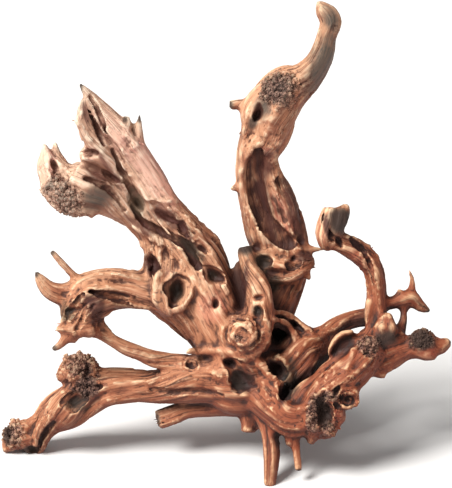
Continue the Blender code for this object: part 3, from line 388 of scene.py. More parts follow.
# Strands that lie on the side facing the front: across, up and radius, and how far the
# middle of the strand sits below that face, in radii.
LAID = {
    "blade": dict(sink=0.1, points=[
        (82, 399, 2), (87, 388, 3.2), (93, 373, 4), (99, 360, 3.4), (102, 353, 1.8),
    ]),
    "right_ridge": dict(sink=0.1, points=[
        (100, 388, 1.8), (112, 376, 2.8), (122, 364, 3.2), (130, 352, 3), (134, 340, 2.4),
    ]),
    "slab_rim": dict(sink=0.1, points=[
        (122, 340, 2.2), (130, 322, 2.6), (138, 306, 2.8), (150, 291, 2.8), (166, 288, 2.8),
        (178, 286, 2),
    ]),
    "flare_edge": dict(sink=0.1, points=[
        (74, 322, 2), (84, 318, 3), (98, 316, 3.2), (110, 310, 3), (120, 300, 2.4),
    ]),
    "twist_side": dict(sink=0.1, points=[
        (140, 264, 2), (152, 252, 3), (166, 240, 3.4), (176, 226, 3.4), (184, 212, 3),
    ]),
    "knee_rib": dict(sink=0.1, points=[
        (66, 196, 2), (84, 200, 3), (106, 194, 3.2), (128, 186, 3), (148, 180, 2.4),
    ]),
    "scoop_rim": dict(sink=0, points=[
        (258, 344, 2), (266, 342, 3), (273, 334, 3.2), (276, 322, 3), (277, 310, 2.2),
    ]),
    "scoop_plank": dict(sink=0.9, points=[
        (260, 304, 1.8), (268, 290, 3.4), (276, 274, 4.6), (286, 258, 4.4), (293, 244, 3),
    ]),
    "knob_fold": dict(sink=0.1, points=[
        (262, 178, 3.4), (266, 164, 4.6), (265, 149, 5), (257, 136, 5), (244, 130, 5), (232, 134, 5),
        (224, 145, 4.6), (223, 159, 4), (230, 169, 3.6), (240, 171, 3),
    ]),
    "knee_fold_high": dict(sink=0.1, points=[
        (90, 198, 2.2), (78, 190, 3.2), (69, 178, 3.6), (62, 164, 2.6),
    ]),
    "knee_fold_low": dict(sink=0.1, points=[
        (100, 188, 2.2), (89, 178, 3.2), (80, 166, 3.2), (73, 152, 2.4),
    ]),
    "lobe_lump_high": dict(sink=0, points=[
        (82, 376, 2.4), (78, 370, 3.6), (79, 364, 3.4), (84, 360, 2.4),
    ]),
    "ridge_lump": dict(sink=0, points=[(126, 352, 2.4), (131, 349, 4), (136, 345, 3.4), (139, 340, 2.2)]),
    "light_ridge": dict(sink=0.2, points=[
        (188, 136, 3), (206, 137, 5), (224, 137, 6), (246, 133, 6.5), (262, 124, 7), (273, 113, 7),
        (279, 101, 6), (279, 88, 5),
    ]),
    "upper_twist": dict(sink=0.2, points=[
        (134, 262, 3.5), (148, 255, 5.5), (164, 246, 6.5), (177, 237, 6.5), (185, 224, 6.5),
        (194, 210, 6), (204, 197, 5), (210, 184, 3),
    ]),
    "spear_rib": dict(sink=0.5, points=[
        (84, 398, 2), (94, 382, 4), (104, 365, 5), (110, 350, 4.5), (114, 338, 3),
    ]),
    "slab_edge": dict(sink=0.3, points=[
        (120, 336, 3), (130, 318, 3.6), (140, 302, 4), (148, 290, 4.4), (160, 286, 4), (171, 287, 3),
    ]),
    "stem_line": dict(sink=0.3, points=[
        (96, 350, 3), (106, 332, 4.6), (118, 313, 5), (128, 296, 5), (136, 278, 4), (150, 266, 3),
    ]),
    "flared_rib": dict(sink=0.4, points=[
        (74, 318, 3), (92, 318, 4), (108, 314, 4.4), (120, 304, 4.4), (131, 288, 3.4),
    ]),
    "flared_crest": dict(sink=0.3, points=[(66, 306, 3), (62, 294, 4), (68, 282, 4), (80, 274, 3)]),
    "stem_right": dict(sink=0.5, points=[
        (184, 272, 3), (198, 254, 4.4), (210, 236, 5), (220, 214, 5), (228, 194, 4),
    ]),
    "knot_side": dict(sink=0.2, points=[(160, 214, 5), (157, 200, 6.5), (160, 184, 6.5), (172, 176, 6)]),
    "gutter_edge": dict(sink=0.2, points=[
        (252, 386, 3), (247, 366, 4), (245, 345, 4.5), (243, 322, 5), (243, 300, 5), (247, 280, 5),
        (252, 258, 5), (256, 244, 4),
    ]),
    "gutter_lip": dict(sink=0.2, points=[(258, 241, 4), (272, 237, 4.5), (288, 237, 4), (304, 238, 3)]),
    "light_blade": dict(sink=0.2, points=[
        (322, 466, 2.5), (320, 452, 3.4), (316, 437, 3.8), (309, 421, 4), (298, 408, 3.4),
    ]),
    "limb_rib": dict(sink=0.2, points=[(170, 112, 2), (150, 106, 3), (125, 105, 3.4), (106, 104, 3)]),
    "limb_band": dict(sink=0.2, points=[(108, 104, 2.4), (96, 106, 4), (84, 108, 4), (72, 104, 3)]),
    "end_rib": dict(sink=0.2, points=[(62, 96, 3), (50, 82, 4), (42, 64, 4.5), (33, 50, 4), (24, 41, 3)]),
    "finger_edge": dict(sink=0.3, points=[
        (246, 220, 2.6), (248, 206, 3.6), (248, 192, 4), (246, 180, 4.4), (242, 170, 3.4),
    ]),
    "finger_back": dict(sink=0.4, points=[
        (262, 208, 2.6), (267, 196, 3.6), (269, 184, 3.6), (269, 170, 4), (265, 152, 3.4),
    ]),
    "arch_edge": dict(sink=0.3, points=[
        (270, 176, 3), (284, 174, 4), (297, 166, 4.4), (308, 157, 4), (318, 148, 3),
    ]),
    "arch_strand": dict(sink=0.2, points=[
        (272, 168, 2.6), (285, 166, 3.4), (293, 156, 4), (297, 144, 4), (298, 132, 3),
    ]),
    "shoulder_rib": dict(sink=0.4, points=[(304, 144, 3), (322, 152, 4), (338, 162, 4), (352, 171, 3)]),
    "top_rib": dict(sink=0.2, points=[(84, 214, 2.4), (104, 216, 3.6), (128, 212, 3.6), (142, 208, 2.4)]),
    "bark_edge": dict(sink=0.2, points=[
        (344, 252, 2.4), (356, 246, 3.2), (366, 236, 3.4), (374, 222, 3.4), (379, 208, 2.6),
    ]),
    "front_rib": dict(sink=0.2, points=[(354, 138, 4), (349, 124, 5), (340, 112, 5), (326, 106, 4)]),
}

# Holes and hollows on the side facing the front: place, half sizes across and along, how far
# their long side turns from upright in degrees, how deep they go, and the height of a rim.
HOLLOWS = {
    "lip_knot": dict(at=(293, 230), half=(3, 3), turn=0, deep=5, rim=2),
    "block_green": dict(at=(263, 226), half=(6, 7), turn=0, deep=6),
    "knot_hole": dict(at=(176, 197), half=(9.5, 14), turn=8, deep=14, rim=5.0),
    "edge_recess": dict(at=(153, 223), half=(7, 14), turn=-42, deep=9),
    "slab_hollow": dict(at=(166, 271), half=(7.5, 20), turn=-60, deep=12),
    "slab_hollow_end": dict(at=(183, 259), half=(6, 13), turn=-30, deep=10),
    "tear_hole": dict(at=(215, 212), half=(6.5, 10), turn=-58, deep=11),
    "small_hole": dict(at=(216, 184), half=(4, 5.5), turn=10, deep=7),
    "twist_dip": dict(at=(204, 238), half=(5, 11), turn=-60, deep=6),
    "green_dip": dict(at=(138, 284), half=(5, 11), turn=-25, deep=8),
    "stub_mouth": dict(at=(89, 335), half=(4, 8), turn=-80, deep=5),
    "under_strand": dict(at=(112, 310), half=(4, 9), turn=-60, deep=7),
    "horn_valley": dict(at=(54, 322), half=(4, 12), turn=-10, deep=7),
    "lobe_hollow": dict(at=(60, 316), half=(8, 9), turn=0, deep=4),
    "dark_mouth": dict(at=(281, 154), half=(10, 10.5), turn=-20, deep=12),
    "slit": dict(at=(296, 162), half=(2.8, 8), turn=-52, deep=12),
    "ring_hole": dict(at=(277, 118), half=(7.5, 11), turn=-30, deep=16, rim=5.5),
    "great_hollow": dict(at=(242, 108), half=(12, 15), turn=-20, deep=12),
    "great_hollow_side": dict(at=(230, 124), half=(4.5, 8), turn=-60, deep=12),
    "finger_hole": dict(at=(258, 177), half=(5, 8), turn=-10, deep=7),
    "finger_notch": dict(at=(256, 189), half=(3, 10), turn=70, deep=5),
    "shade_gap": dict(at=(285, 95), half=(5, 10), turn=25, deep=16),
    "knob_face": dict(at=(324, 74), half=(9, 17), turn=-10, deep=14),
    "eye": dict(at=(348, 88), half=(7, 5.5), turn=0, deep=5, rim=3.2),
    "roll_core": dict(at=(191, 124.5), half=(4.5, 6), turn=70, deep=4),
    "patch_dip_high": dict(at=(368, 150), half=(5, 4), turn=0, deep=5),
    "patch_dip_low": dict(at=(371, 136), half=(7, 4), turn=20, deep=5),
    "elbow_hollow": dict(at=(76, 87), half=(7, 13), turn=70, deep=6),
    "elbow_hollow_top": dict(at=(84, 99), half=(5, 13), turn=80, deep=7),
    "lobe_mouth": dict(at=(11, 55), half=(4, 6), turn=20, deep=5),
    "end_hollow": dict(at=(34, 37), half=(6, 4), turn=10, deep=6),
    "nose_dip": dict(at=(340, 244), half=(3, 8), turn=-20, deep=5),
    "crust_dip": dict(at=(88, 118), half=(6, 7), turn=0, deep=6),
    "ledge_hollow": dict(at=(72, 177), half=(5, 13), turn=70, deep=8),
    "bulge_slot": dict(at=(257, 371), half=(4.6, 11), turn=18, deep=11),
    "block_dip": dict(at=(295, 228), half=(7, 9), turn=20, deep=5),
    "swirl_core": dict(at=(240, 151), half=(7, 8), turn=20, deep=5),
}

# Furrows on the side facing the front: across, up and radius, and how far the furrow's floor
# lies below that face, in furrow radii.
FURROWS = {
    "knob_groove": dict(sink=1.1, points=[
        (259, 174, 2.6), (259, 160, 3.2), (256, 147, 3.4), (247, 139, 3.4), (236, 141, 3.2),
        (230, 150, 3), (231, 160, 2.6),
    ]),
    "knee_gap_high": dict(sink=1.2, points=[(84, 194, 2.6), (74, 183, 3.4), (67, 170, 2.6)]),
    "knee_gap_low": dict(sink=1.2, points=[(95, 183, 2.6), (85, 172, 3.2), (77, 158, 2.6)]),
    "knee_line": dict(sink=1.3, points=[(80, 199, 2.6), (102, 192, 3.4), (126, 185, 3), (146, 180, 2.6)]),
    "blade_line": dict(sink=1.1, points=[(90, 392, 2.6), (97, 378, 3), (104, 364, 3), (108, 352, 2.6)]),
    "long_channel": dict(sink=1.8, points=[
        (132, 280, 3), (142, 268, 4.4), (158, 258, 4.2), (172, 252, 4.4), (186, 241, 5), (193, 230, 5.4),
        (199, 219, 4),
    ]),
    "spear_gap": dict(sink=1.0, points=[
        (88, 378, 2.6), (92, 369, 3.2), (96, 359, 3.6), (100, 350, 3.4), (103, 343, 2.8),
    ]),
    "slab_groove": dict(sink=1.3, points=[
        (112, 338, 3), (119, 322, 4.2), (128, 305, 4.6), (136, 291, 3.6),
    ]),
    "gutter": dict(sink=1.55, points=[
        (259, 338, 6), (254, 322, 9.5), (254, 303, 11), (258, 284, 11.5), (266, 266, 12), (279, 252, 11),
        (290, 246, 8),
    ]),
    "gutter_floor": dict(sink=0.7, points=[
        (263, 326, 7), (266, 304, 13), (273, 284, 16), (281, 265, 17), (288, 254, 12),
    ]),
    "gutter_side": dict(sink=0.9, points=[
        (276, 312, 3), (284, 294, 4.5), (292, 274, 5), (299, 256, 5), (302, 246, 4),
    ]),
    "knob_channel": dict(sink=1.5, points=[(324, 272, 3), (328, 260, 4.4), (332, 247, 3.4)]),
    "end_split": dict(sink=1.1, points=[(54, 66, 2.8), (47, 57, 4), (43, 49, 4.2), (39, 42, 3)]),
    "lobe_split": dict(sink=1.1, points=[(32, 63, 2.8), (29, 53, 3.8), (26, 43, 3)]),
    "trunk_line": dict(sink=1, points=[(150, 98, 2.6), (176, 96, 3.4), (200, 97, 3.8), (222, 92, 3)]),
    "flared_channel": dict(sink=0.9, points=[
        (84, 309, 3), (100, 303, 4), (114, 293, 4.4), (126, 278, 3.4),
    ]),
    "stem_channel": dict(sink=1, points=[(152, 276, 3), (166, 264, 4), (178, 254, 4), (190, 246, 3)]),
    "limb_line": dict(sink=1, points=[(90, 197, 2.6), (112, 195, 3.6), (136, 190, 2.6)]),
    "eye_gap": dict(sink=1.1, points=[(338, 101, 2.6), (335, 90, 3.4), (338, 80, 2.6)]),
    "bark_gap": dict(sink=1, points=[(350, 250, 2.6), (362, 238, 3.2), (370, 222, 3.2), (374, 206, 2.6)]),
}

LIMBS = [limb for group in LIMB_GROUPS for limb in group.values()]

# How finely a limb is lofted: the gap between its rings and the length of a ring's sides.
RING_GAP = 3.0
SIDE_LENGTH = 2.8
MOST_SIDES = 56
FEWEST_SIDES = 10
THINNEST = 0.6

# Ends: how far a cut face bulges and how wide it is, and how long a rounded end is, in radii.
CUT_BULGE = 0.08
CUT_WIDTH = 0.86
ROUND_LENGTH = 0.8
ROUND_ANGLES = (30, 55, 75)

# How far in front of and behind the sheet the face is looked for.
FACE_REACH = 300.0

# A strand has a station on every third point of its curve, and its depths are evened out.
STRAND_STEP = 3
EVENING_PASSES = 3

# A rim's points, its distance from the hole in rim radii, and how deep it sits.
RIM_POINTS = 14
RIM_OFFSET = 0.55
RIM_SINK = 0.25

# A hollow is a deep pebble inside a wide shallow one, in shares of its size. How far and how
# coarsely its shape strays from round, how finely it is made, and how far its cutter reaches
# out of the face.
DEEP_SHARE = 0.85
WIDE_SHARE = 1.3
WIDE_DEPTH = 0.55
UNEVEN = 0.45
UNEVEN_SCALE = 1.3
UNEVEN_GAP = 9
PEBBLE_FINENESS = 4
MOUTH_REACH = 10.0


def curve_through(stations):
    """Points about RING_GAP apart on a smooth curve through the stations, and the length run."""
    rows = [Vector(row) for row in stations]
    padded = [2 * rows[0] - rows[1], *rows, 2 * rows[-1] - rows[-2]]
    points = []
    lengths = []
    run = 0.0
    for before, here, there, after in zip(padded, padded[1:], padded[2:], padded[3:]):
        span = (there.xyz - here.xyz).length
        count = max(2, round(span / RING_GAP))
        for step in range(count):
            t = step / count
            bend = 2 * here + (there - before) * t
            bend += (2 * before - 5 * here + 4 * there - after) * t * t
            bend += (3 * here - before - 3 * there + after) * t ** 3
            points.append(bend / 2)
            lengths.append(run + span * t)
        run += span
    points.append(rows[-1])
    lengths.append(run)
    return points, lengths


def closing_rings(centre, along, radius, kind):
    """Centre and radius of the rings that close an end, where along points outwards."""
    if kind == "cut":
        return [(centre + along * radius * CUT_BULGE, radius * CUT_WIDTH)]
    if kind == "point":
        return []
    rings = []
    for angle in ROUND_ANGLES:
        turned = math.radians(angle)
        reach = along * radius * ROUND_LENGTH * math.sin(turned)
        rings.append((centre + reach, radius * math.cos(turned)))
    return rings


def rib(angle, run, radius, count, turn, seed):
    """How far the wood stands out at an angle round the limb, in millimetres."""
    angle += math.radians(turn) * run / CENTIMETRE
    spot = Vector((math.cos(angle) * RIB_ROUND, math.sin(angle) * RIB_ROUND, run / RIB_LENGTH + seed))
    drift = RIB_DRIFT * noise.noise(spot)
    height = min(RIB_DEPTH, RIB_SHARE * radius)
    height *= RIB_LEAST + RIB_SWING * noise.noise(spot * HEIGHT_SCALE + HEIGHT_SHIFT)
    wave = abs(math.sin(count * angle / 2 + drift)) ** RIB_SHARPNESS
    plane = radius * PLANES * noise.noise(spot * PLANE_SCALE + PLANE_SHIFT)
    return height * (wave - RIB_MEAN) + plane


def limb_rings(stations, start, end):
    """Place, direction, radius and length run of each ring from one closed end to the other."""
    points, lengths = curve_through(stations)
    rings = []
    for index, point in enumerate(points):
        ahead = points[min(index + 1, len(points) - 1)]
        behind = points[max(index - 1, 0)]
        tangent = (ahead.xyz - behind.xyz).normalized()
        rings.append((point.xyz, tangent, max(point.w, THINNEST), lengths[index]))
    place, tangent, radius, run = rings[0]
    for centre, narrowed in closing_rings(place, -tangent, radius, start):
        rings.insert(0, (centre, tangent, narrowed, run))
    place, tangent, radius, run = rings[-1]
    for centre, narrowed in closing_rings(place, tangent, radius, end):
        rings.append((centre, tangent, narrowed, run))
    return rings


def add_limb(mesh, stations, start="round", end="round", turn=0.0, flat=1.0):
    """Lofts a closed limb through its stations into the bmesh."""
    rings = limb_rings(stations, start, end)
    widest = max(radius for _, _, radius, _ in rings)
    sides = round(2 * math.pi * widest / SIDE_LENGTH)
    sides = min(MOST_SIDES, max(FEWEST_SIDES, sides))
    along = [radius for _, _, radius, _ in rings]
    count = max(3, round(2 * math.pi * sum(along) / len(along) / RIB_WIDTH))
    seed = stations[0][0] * START_SHARES[0] + stations[0][1] * START_SHARES[1]
    loops = []
    for place, tangent, radius, run in rings:
        sideways = tangent.cross(Vector((0, 0, 1))).normalized()
        forwards = sideways.cross(tangent).normalized()
        loop = []
        for side in range(sides):
            angle = 2 * math.pi * side / sides
            outward = sideways * math.cos(angle) + forwards * math.sin(angle) * flat
            reach = radius + rib(angle, run, radius, count, turn, seed)
            loop.append(mesh.verts.new(stand(*(place + outward * reach))))
        loops.append(loop)
    for near, far in zip(loops, loops[1:]):
        for side in range(sides):
            after = (side + 1) % sides
            mesh.faces.new((near[side], near[after], far[after], far[side]))
    mesh.faces.new(reversed(loops[0]))
    mesh.faces.new(loops[-1])


def front_of(tree, across, up):
    """How deep the side facing the front lies at a place on the sheet."""
    eye = stand(across, up, -FACE_REACH)
    sight = (stand(across, up, FACE_REACH) - eye).normalized()
    hit, _, _, distance = tree.ray_cast(eye, sight)
    return distance / MM - FACE_REACH if hit else None


def laid_stations(tree, points, sink):
    """Stations that follow the face seen from the front, evened out so that they don't jump.

    They lie below the face by sink, in radii.
    """
    rows, _ = curve_through([(across, up, 0, radius) for across, up, radius in points])
    rows = rows[::STRAND_STEP] + [rows[-1]]
    depths = [front_of(tree, row.x, row.y) for row in rows]
    known = sorted(depth for depth in depths if depth is not None)
    middle = known[len(known) // 2]
    depths = [middle if depth is None else depth for depth in depths]
    for _ in range(EVENING_PASSES):
        inner = [(a + 2 * b + c) / 4 for a, b, c in zip(depths, depths[1:], depths[2:])]
        depths = [depths[0], *inner, depths[-1]]
    return [
        (row.x, row.y, depth + row.w * sink, row.w) for row, depth in zip(rows, depths)
    ]


def hollow_frame(tree, hollow):
    """Centre on the front face, and the long and the short way of a hollow."""
    turn = math.radians(hollow["turn"])
    long_way = Vector((math.sin(turn), math.cos(turn), 0)) * hollow["half"][1]
    short_way = Vector((math.cos(turn), -math.sin(turn), 0)) * hollow["half"][0]
    centre = Vector((*hollow["at"], front_of(tree, *hollow["at"])))
    return centre, long_way, short_way


def add_rim(mesh, tree, hollow):
    """A raised ring of new wood round a hole."""
    centre, long_way, short_way = hollow_frame(tree, hollow)
    rim = hollow["rim"]
    grown = 1 + rim * RIM_OFFSET / min(hollow["half"])
    points = []
    for index in range(RIM_POINTS + 1):
        angle = 2 * math.pi * index / RIM_POINTS
        place = centre + (long_way * math.cos(angle) + short_way * math.sin(angle)) * grown
        points.append((place.x, place.y, rim))
    add_limb(mesh, laid_stations(tree, points, RIM_SINK))


def add_cutter(mesh, tree, hollow):
    """A deep pebble inside a wide shallow one, which take a hollow with a worn mouth."""
    centre, long_way, short_way = hollow_frame(tree, hollow)
    deep = hollow["deep"]
    shallow = min(WIDE_DEPTH * hollow["half"][0], deep)
    for grown, depth in ((DEEP_SHARE, deep), (WIDE_SHARE, shallow)):
        made = bmesh.ops.create_icosphere(mesh, subdivisions=PEBBLE_FINENESS, radius=1.0)
        for vertex in made["verts"]:
            spot = vertex.co.copy()
            wobble = grown * (1 + UNEVEN * noise.noise(spot * UNEVEN_SCALE + centre / UNEVEN_GAP))
            place = centre + (short_way * spot.x + long_way * spot.y) * wobble
            place.z += (depth if spot.z > 0 else MOUTH_REACH) * spot.z
            vertex.co = stand(*place)


def new_object(name, mesh):
    """An object made from the bmesh, with its faces pointing out."""
    bmesh.ops.recalc_face_normals(mesh, faces=mesh.faces)
    data = bpy.data.meshes.new(name)
    mesh.to_mesh(data)
    mesh.free()
    item = bpy.data.objects.new(name, data)
    bpy.context.scene.collection.objects.link(item)
    return item


def add_remesh(item, voxel):
    """Fuses all that overlaps into one closed skin."""
    modifier = item.modifiers.new("fuse", "REMESH")
    modifier.mode = "VOXEL"
    modifier.voxel_size = voxel
    modifier.use_smooth_shade = True


def add_offset(item, distance):
    """Moves the skin out, or in where the distance is negative."""
    modifier = item.modifiers.new("offset", "DISPLACE")
    modifier.direction = "NORMAL"
    modifier.mid_level = 0.0
    modifier.strength = distance


def add_boolean(item, helper, operation):
    """Joins the helper to the object or cuts it away, and keeps the helper out of the model."""
    modifier = item.modifiers.new(helper.name, "BOOLEAN")
    modifier.operation = operation
    modifier.solver = "EXACT"
    modifier.object = helper
    helper.hide_render = True
    helper.display_type = "WIRE"


def add_wear(item):
    """Evens out the skin."""
    modifier = item.modifiers.new("wear", "SMOOTH")
    modifier.factor = WEAR
    modifier.iterations = WEAR_TIMES


def ground_cut():
    """What lies under the ground, which cuts the three feet flat."""
    mesh = bmesh.new()
    bmesh.ops.create_cube(mesh, size=1.0)
    bmesh.ops.translate(mesh, verts=mesh.verts, vec=(0, 0, -0.5))
    return new_object("ground_cut", mesh)


def fused(name, mesh):
    """A helper whose overlapping pieces are fused into one skin."""
    helper = new_object(name, mesh)
    add_remesh(helper, HELPER_VOXEL)
    return helper


def strands_on(tree):
    """Ribs that stand on the face, and the rims of the holes."""
    mesh = bmesh.new()
    for strand in LAID.values():
        add_limb(mesh, laid_stations(tree, strand["points"], strand["sink"]))
    for hollow in HOLLOWS.values():
        if "rim" in hollow:
            add_rim(mesh, tree, hollow)
    return fused("strands", mesh)


def hollows_in(tree):
    """Cutters of the hollows and the furrows, whose floors lie a radius below their middles."""
    mesh = bmesh.new()
    for hollow in HOLLOWS.values():
        add_cutter(mesh, tree, hollow)
    for furrow in FURROWS.values():
        add_limb(mesh, laid_stations(tree, furrow["points"], furrow["sink"] - 1))
    return fused("hollows", mesh)


def made_plain(item):
    """The mesh of an object with its modifiers applied."""
    bpy.context.view_layer.update()
    return bpy.data.meshes.new_from_object(
        item.evaluated_get(bpy.context.evaluated_depsgraph_get())
    )


def rows_of(collection, name, width):
    """A property of every item of a mesh's collection, as rows of numbers."""
    values = np.empty(len(collection) * width, np.float32)
    collection.foreach_get(name, values)
    return values.reshape(-1, width).astype(float)


def on_sheet(places):
    """Points of the standing root, in metres, as points of the sheet in millimetres."""
    places = (places - np.array(SHIFT)) / MM
    up = places[:, 1] * math.sin(LEAN) + places[:, 2] * math.cos(LEAN)
    deep = places[:, 1] * math.cos(LEAN) - places[:, 2] * math.sin(LEAN)
    growth = 1 + deep / SIGHT_LENGTH
    across = SHEET_CENTRE[0] + (places[:, 0] - SHEET_CENTRE[0]) / growth
    up = SHEET_CENTRE[1] + (up - SHEET_CENTRE[1]) / growth
    return np.stack([across, up, deep], 1)


# Smooth noise for many points at once blends the slopes of a shuffled lattice.
LATTICE_SEED = 7
LATTICE_SIZE = 256
LATTICE = np.random.default_rng(LATTICE_SEED).permutation(LATTICE_SIZE)
SLOPES = np.array([way for way in np.ndindex(3, 3, 3) if sum(step == 1 for step in way) == 1]) - 1


def many_noise(spots):
    """Smooth noise from -1 to 1 at each spot."""
    cell = np.floor(spots).astype(int)
    part = spots - cell
    ease = part ** 3 * (part * (part * 6 - 15) + 10)
    total = np.zeros(len(spots))
    for corner in np.ndindex(2, 2, 2):
        key = np.zeros(len(spots), int)
        weight = np.ones(len(spots))
        for axis in range(3):
            key = LATTICE[(key + cell[:, axis] + corner[axis]) & (LATTICE_SIZE - 1)]
            weight = weight * (ease[:, axis] if corner[axis] else 1 - ease[:, axis])
        total += weight * ((part - corner) * SLOPES[key % len(SLOPES)]).sum(1)
    return total


def smooth_step(low, high, value):
    """Rises smoothly from 0 at low to 1 at high, which may be the smaller of the two."""
    t = np.clip((value - low) / (high - low), 0, 1)
    return t * t * (3 - 2 * t)


def make_ragged(item):
    """Pushes a helper's points about, so that what it adds or cuts away has uneven edges."""
    places = rows_of(item.data.vertices, "co", 3)
    pushes = [many_noise(places / RAGGED_SIZE + shift) for shift in RAGGED_SHIFTS]
    places += np.stack(pushes, 1) * RAGGED
    item.data.vertices.foreach_set("co", places.astype(np.float32).ravel())
    item.data.update()


def fused_root():
    """The root's form as a plain mesh before its skin is worked, and the limbs it is made of."""
    mesh = bmesh.new()
    for limb in LIMBS:
        add_limb(mesh, **limb)
    tree = BVHTree.FromBMesh(mesh)
    root = new_object("root_form", mesh)
    add_remesh(root, VOXEL)
    add_offset(root, FILLET)
    add_remesh(root, VOXEL)
    add_offset(root, -FILLET)
    add_remesh(root, VOXEL)
    strands = strands_on(tree)
    hollows = hollows_in(tree)
    for item in (strands, hollows):
        make_ragged(item)
    add_boolean(root, strands, "UNION")
    add_remesh(root, VOXEL)
    add_boolean(root, hollows, "DIFFERENCE")
    add_remesh(root, VOXEL)
    add_wear(root)
    plain = made_plain(root)
    for item in (root, strands, hollows):
        bpy.data.objects.remove(item, do_unlink=True)
    return plain, tree


# How many limbs a point's grain blends, how fast the blend falls off in millimetres, how many
# points are measured at a time, and how far the patterns of two limbs lie apart.
NEAR_LIMBS = 3
NEAR_BLEND = 1.6
CHUNK = 4000
LIMB_SHIFT = 211

# What a row of the centre lines holds.
PLACE = slice(0, 3)
RADIUS = 3
RUN = 4
ALONG = slice(5, 8)
SIDEWAYS = slice(8, 11)
FORWARDS = slice(11, 14)
MEAN = 14
TWIST = 15
NUMBER = 16


def centre_lines():
    """The rings of all limbs as rows of numbers, and where each limb's rows start."""
    rows = []
    starts = [0]
    for number, limb in enumerate(LIMBS):
        rings = limb_rings(limb["stations"], "point", "point")
        mean = sum(radius for _, _, radius, _ in rings) / len(rings)
        for place, tangent, radius, run in rings:
            sideways = tangent.cross(Vector((0, 0, 1))).normalized()
            forwards = sideways.cross(tangent).normalized()
            twist = limb.get("turn", 0)
            rows.append((*place, radius, run, *tangent, *sideways, *forwards, mean, twist, number))
        starts.append(len(rows))
    return np.array(rows), starts


def nearest_limbs(places, lines, starts):
    """How far each point is off the skin of its nearest limbs, and the nearest row of each."""
    count = len(starts) - 1
    gaps = np.empty((len(places), count), np.float32)
    rows = np.empty((len(places), count), np.int32)
    centres = lines[:, PLACE]
    squares = (centres ** 2).sum(1)
    for first in range(0, len(places), CHUNK):
        part = places[first:first + CHUNK]
        away = (part ** 2).sum(1)[:, None] + squares - 2 * part @ centres.T
        away = np.sqrt(np.maximum(away, 0)) - lines[:, RADIUS]
        for number in range(count):
            own = away[:, starts[number]:starts[number + 1]]
            best = own.argmin(1)
            rows[first:first + CHUNK, number] = best + starts[number]
            gaps[first:first + CHUNK, number] = own[np.arange(len(own)), best]
    order = gaps.argsort(1)[:, :NEAR_LIMBS]
    return np.take_along_axis(gaps, order, 1), np.take_along_axis(rows, order, 1)


def grain_at(places, lines, rows):
    """Where each point lies in a limb's wood as if it were straight: two ways across, one along."""
    line = lines[rows]
    off = places - line[:, PLACE]
    run = line[:, RUN] + (off * line[:, ALONG]).sum(1)
    side = (off * line[:, SIDEWAYS]).sum(1)
    front = (off * line[:, FORWARDS]).sum(1)
    angle = np.arctan2(front, side) + np.radians(line[:, TWIST]) * run / CENTIMETRE
    reach = np.hypot(side, front) / line[:, RADIUS] * line[:, MEAN]
    shifted = run + line[:, NUMBER] * LIMB_SHIFT
    return np.stack([reach * np.cos(angle), reach * np.sin(angle), shifted], 1)


# The strands of the skin, in millimetres: how wide and long they are and how high they stand.
# Each kind has a pattern of its own, wanders across the grain, and has creases between strands.
STRANDS = ((18, 150, 1.7), (9, 90, 1.0), (4.6, 50, 0.45))
STRAND_SHIFT = 31.7
WANDER = 0.9
WANDER_SCALE = (0.45, 0.45, 1.1)
WANDER_SHIFT = 9.1
CREASE_STEEPNESS = 2.4
CREASE_SHARPNESS = 0.75
STRAND_MEAN = 0.6

# Flakes, in millimetres: their size across and along the grain, how many layers have come
# away, how deep they are together, and how uneven and how steep their edges are.
FLAKES = (10, 10, 30)
FLAKE_SHIFT = 17.3
FLAKE_STEPS = 4
FLAKE_HEIGHT = 2.6
FLAKE_UNEVEN = 0.35
FLAKE_UNEVEN_SIZE = 6.0
FLAKE_EDGE = 0.7


def strand_height(grain):
    """Rounded strands with sharp creases between them, which wander along the grain."""
    height = np.zeros(len(grain))
    for number, (wide, long, high) in enumerate(STRANDS):
        spots = grain / (wide, wide, long) + number * STRAND_SHIFT
        wander = many_noise(spots * WANDER_SCALE + WANDER_SHIFT)
        spots[:, :2] += WANDER * wander[:, None]
        rise = np.minimum(np.abs(many_noise(spots)) * CREASE_STEEPNESS, 1)
        height += high * (rise ** CREASE_SHARPNESS - STRAND_MEAN)
    return height


def flake_height(grain):
    """Layers of wood that have come away in steps."""
    spots = grain / FLAKES + FLAKE_SHIFT
    spots += FLAKE_UNEVEN * many_noise(grain / FLAKE_UNEVEN_SIZE)[:, None]
    level = FLAKE_STEPS * many_noise(spots)
    step = np.floor(level)
    return FLAKE_HEIGHT / FLAKE_STEPS * (step + smooth_step(FLAKE_EDGE, 1, level - step))


